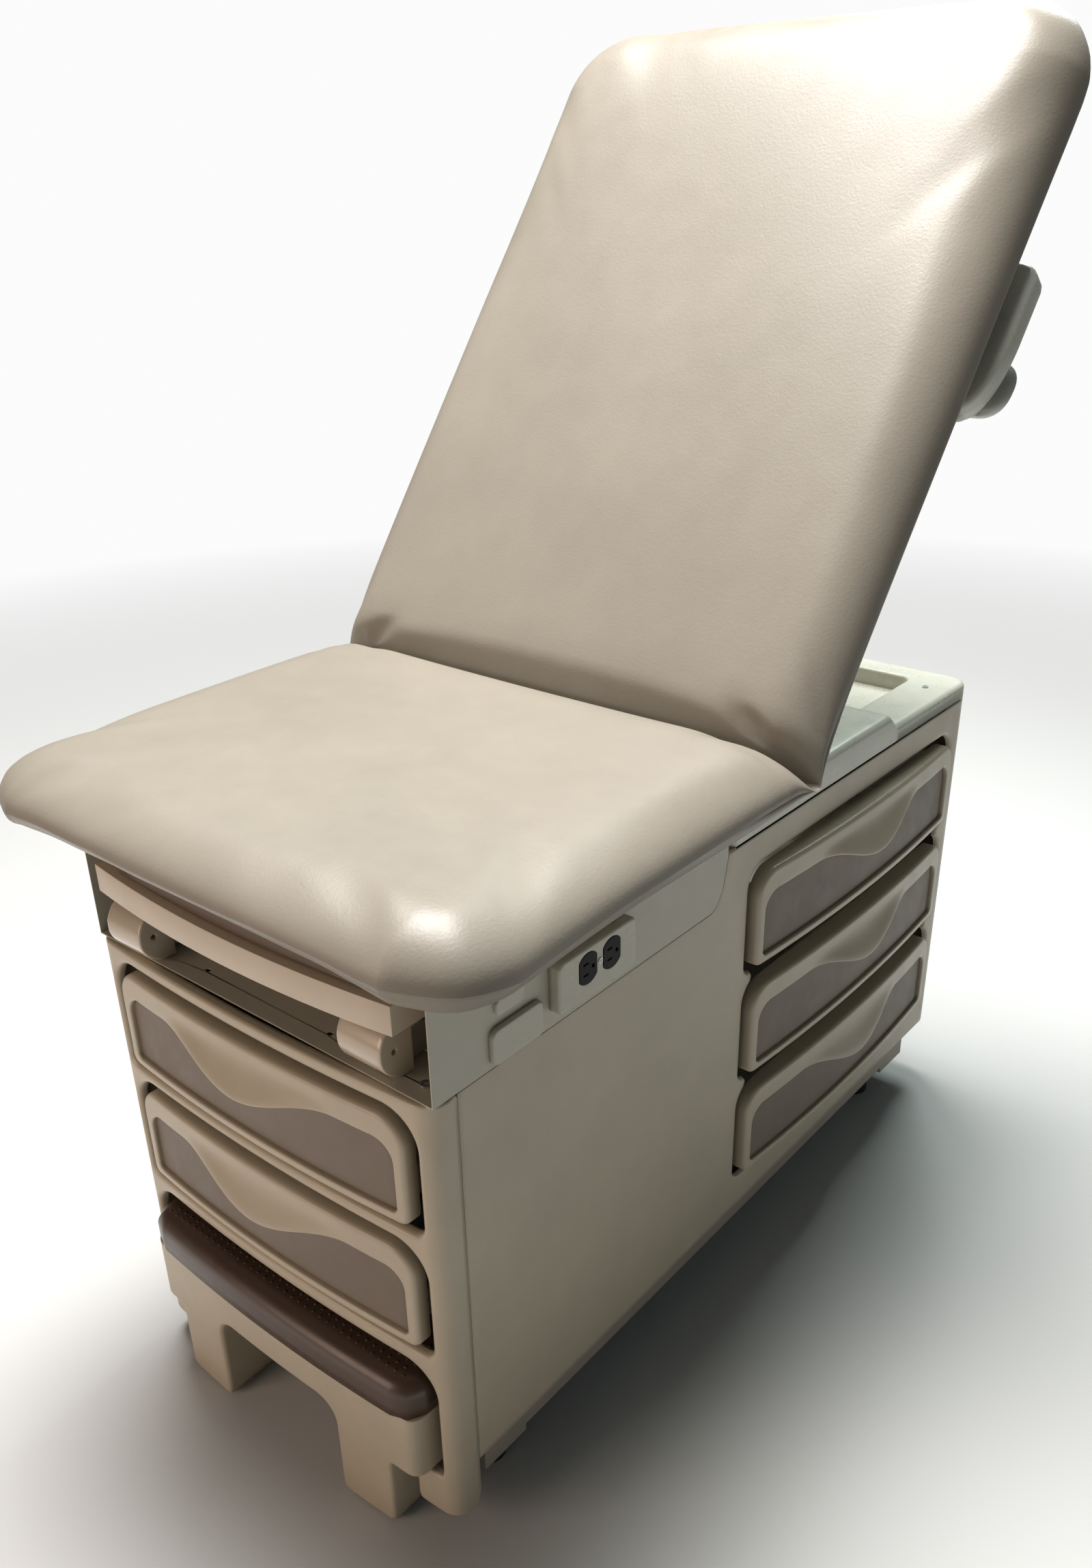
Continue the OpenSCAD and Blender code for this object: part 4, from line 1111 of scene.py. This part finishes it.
def add_floor():
    half = 9000
    corners = [(-half, -half, 0), (half, -half, 0), (half, half, 0), (-half, half, 0)]
    floor = new_mesh("floor", corners, [(0, 1, 2, 3)], smooth=False)
    n = Nodes("floor")
    n.tint(n.noise(1.2, 3), (0.50, 0.50, 0.495), (0.54, 0.54, 0.535))
    n.fixed(Roughness=0.8)
    n.fade_to_white(near=1.5, far=4.2, seen=BACKDROP)
    floor.data.materials.append(n.mat)


def add_backdrop():
    """A world that lights the scene dimly and is seen as nearly white."""
    world = bpy.data.worlds.new("studio")
    world.use_nodes = True
    tree = world.node_tree
    sky = tree.nodes["Background"]
    sky.inputs["Color"].default_value = (0.86, 0.98, 0.97, 1)
    sky.inputs["Strength"].default_value = 0.085
    shown = tree.nodes.new("ShaderNodeBackground")
    shown.inputs["Color"].default_value = (1, 1, 1, 1)
    shown.inputs["Strength"].default_value = BACKDROP
    path = tree.nodes.new("ShaderNodeLightPath")
    mix_in(tree, path.outputs["Is Camera Ray"], sky.outputs[0], shown.outputs[0], "World Output")
    scene.world = world
    scene.view_settings.view_transform = "Standard"


# name: place, aim, size, power, colour, share in reflections
LAMPS = {
    "ceiling": ((-0.65, 0.28, 4.2), (0, -0.2, 0.8), 1.7, 342, (1.0, 0.985, 0.965), 0.5),
    "front": ((-0.8, -2.8, 1.1), (0, 0, 0.4), 1.4, 25, (1.0, 0.75, 0.60), 1.0),
    "window": ((-0.1, 1.6, 2.2), (0.2, 0.35, 0.7), 0.7, 31, (0.88, 1.0, 0.97), 1.0),
}


def add_lamps():
    for name, (place, aim, size, power, colour, gloss) in LAMPS.items():
        light = bpy.data.lights.new(name, "AREA")
        light.shape, light.size, light.energy, light.color = "SQUARE", size, power, colour
        light.specular_factor = gloss
        obj = bpy.data.objects.new(name, light)
        scene.collection.objects.link(obj)
        obj.location = place
        obj.rotation_euler = (Vector(aim) - Vector(place)).to_track_quat("-Z", "Y").to_euler()


add_cover()
add_footrest_pad()
add_drawers()
add_fascia()
add_shell()
add_top_cover()
add_step_riser()
add_step_tread()
add_small_parts()
add_plates()
dress_nodes()
add_floor()
add_backdrop()
add_lamps()
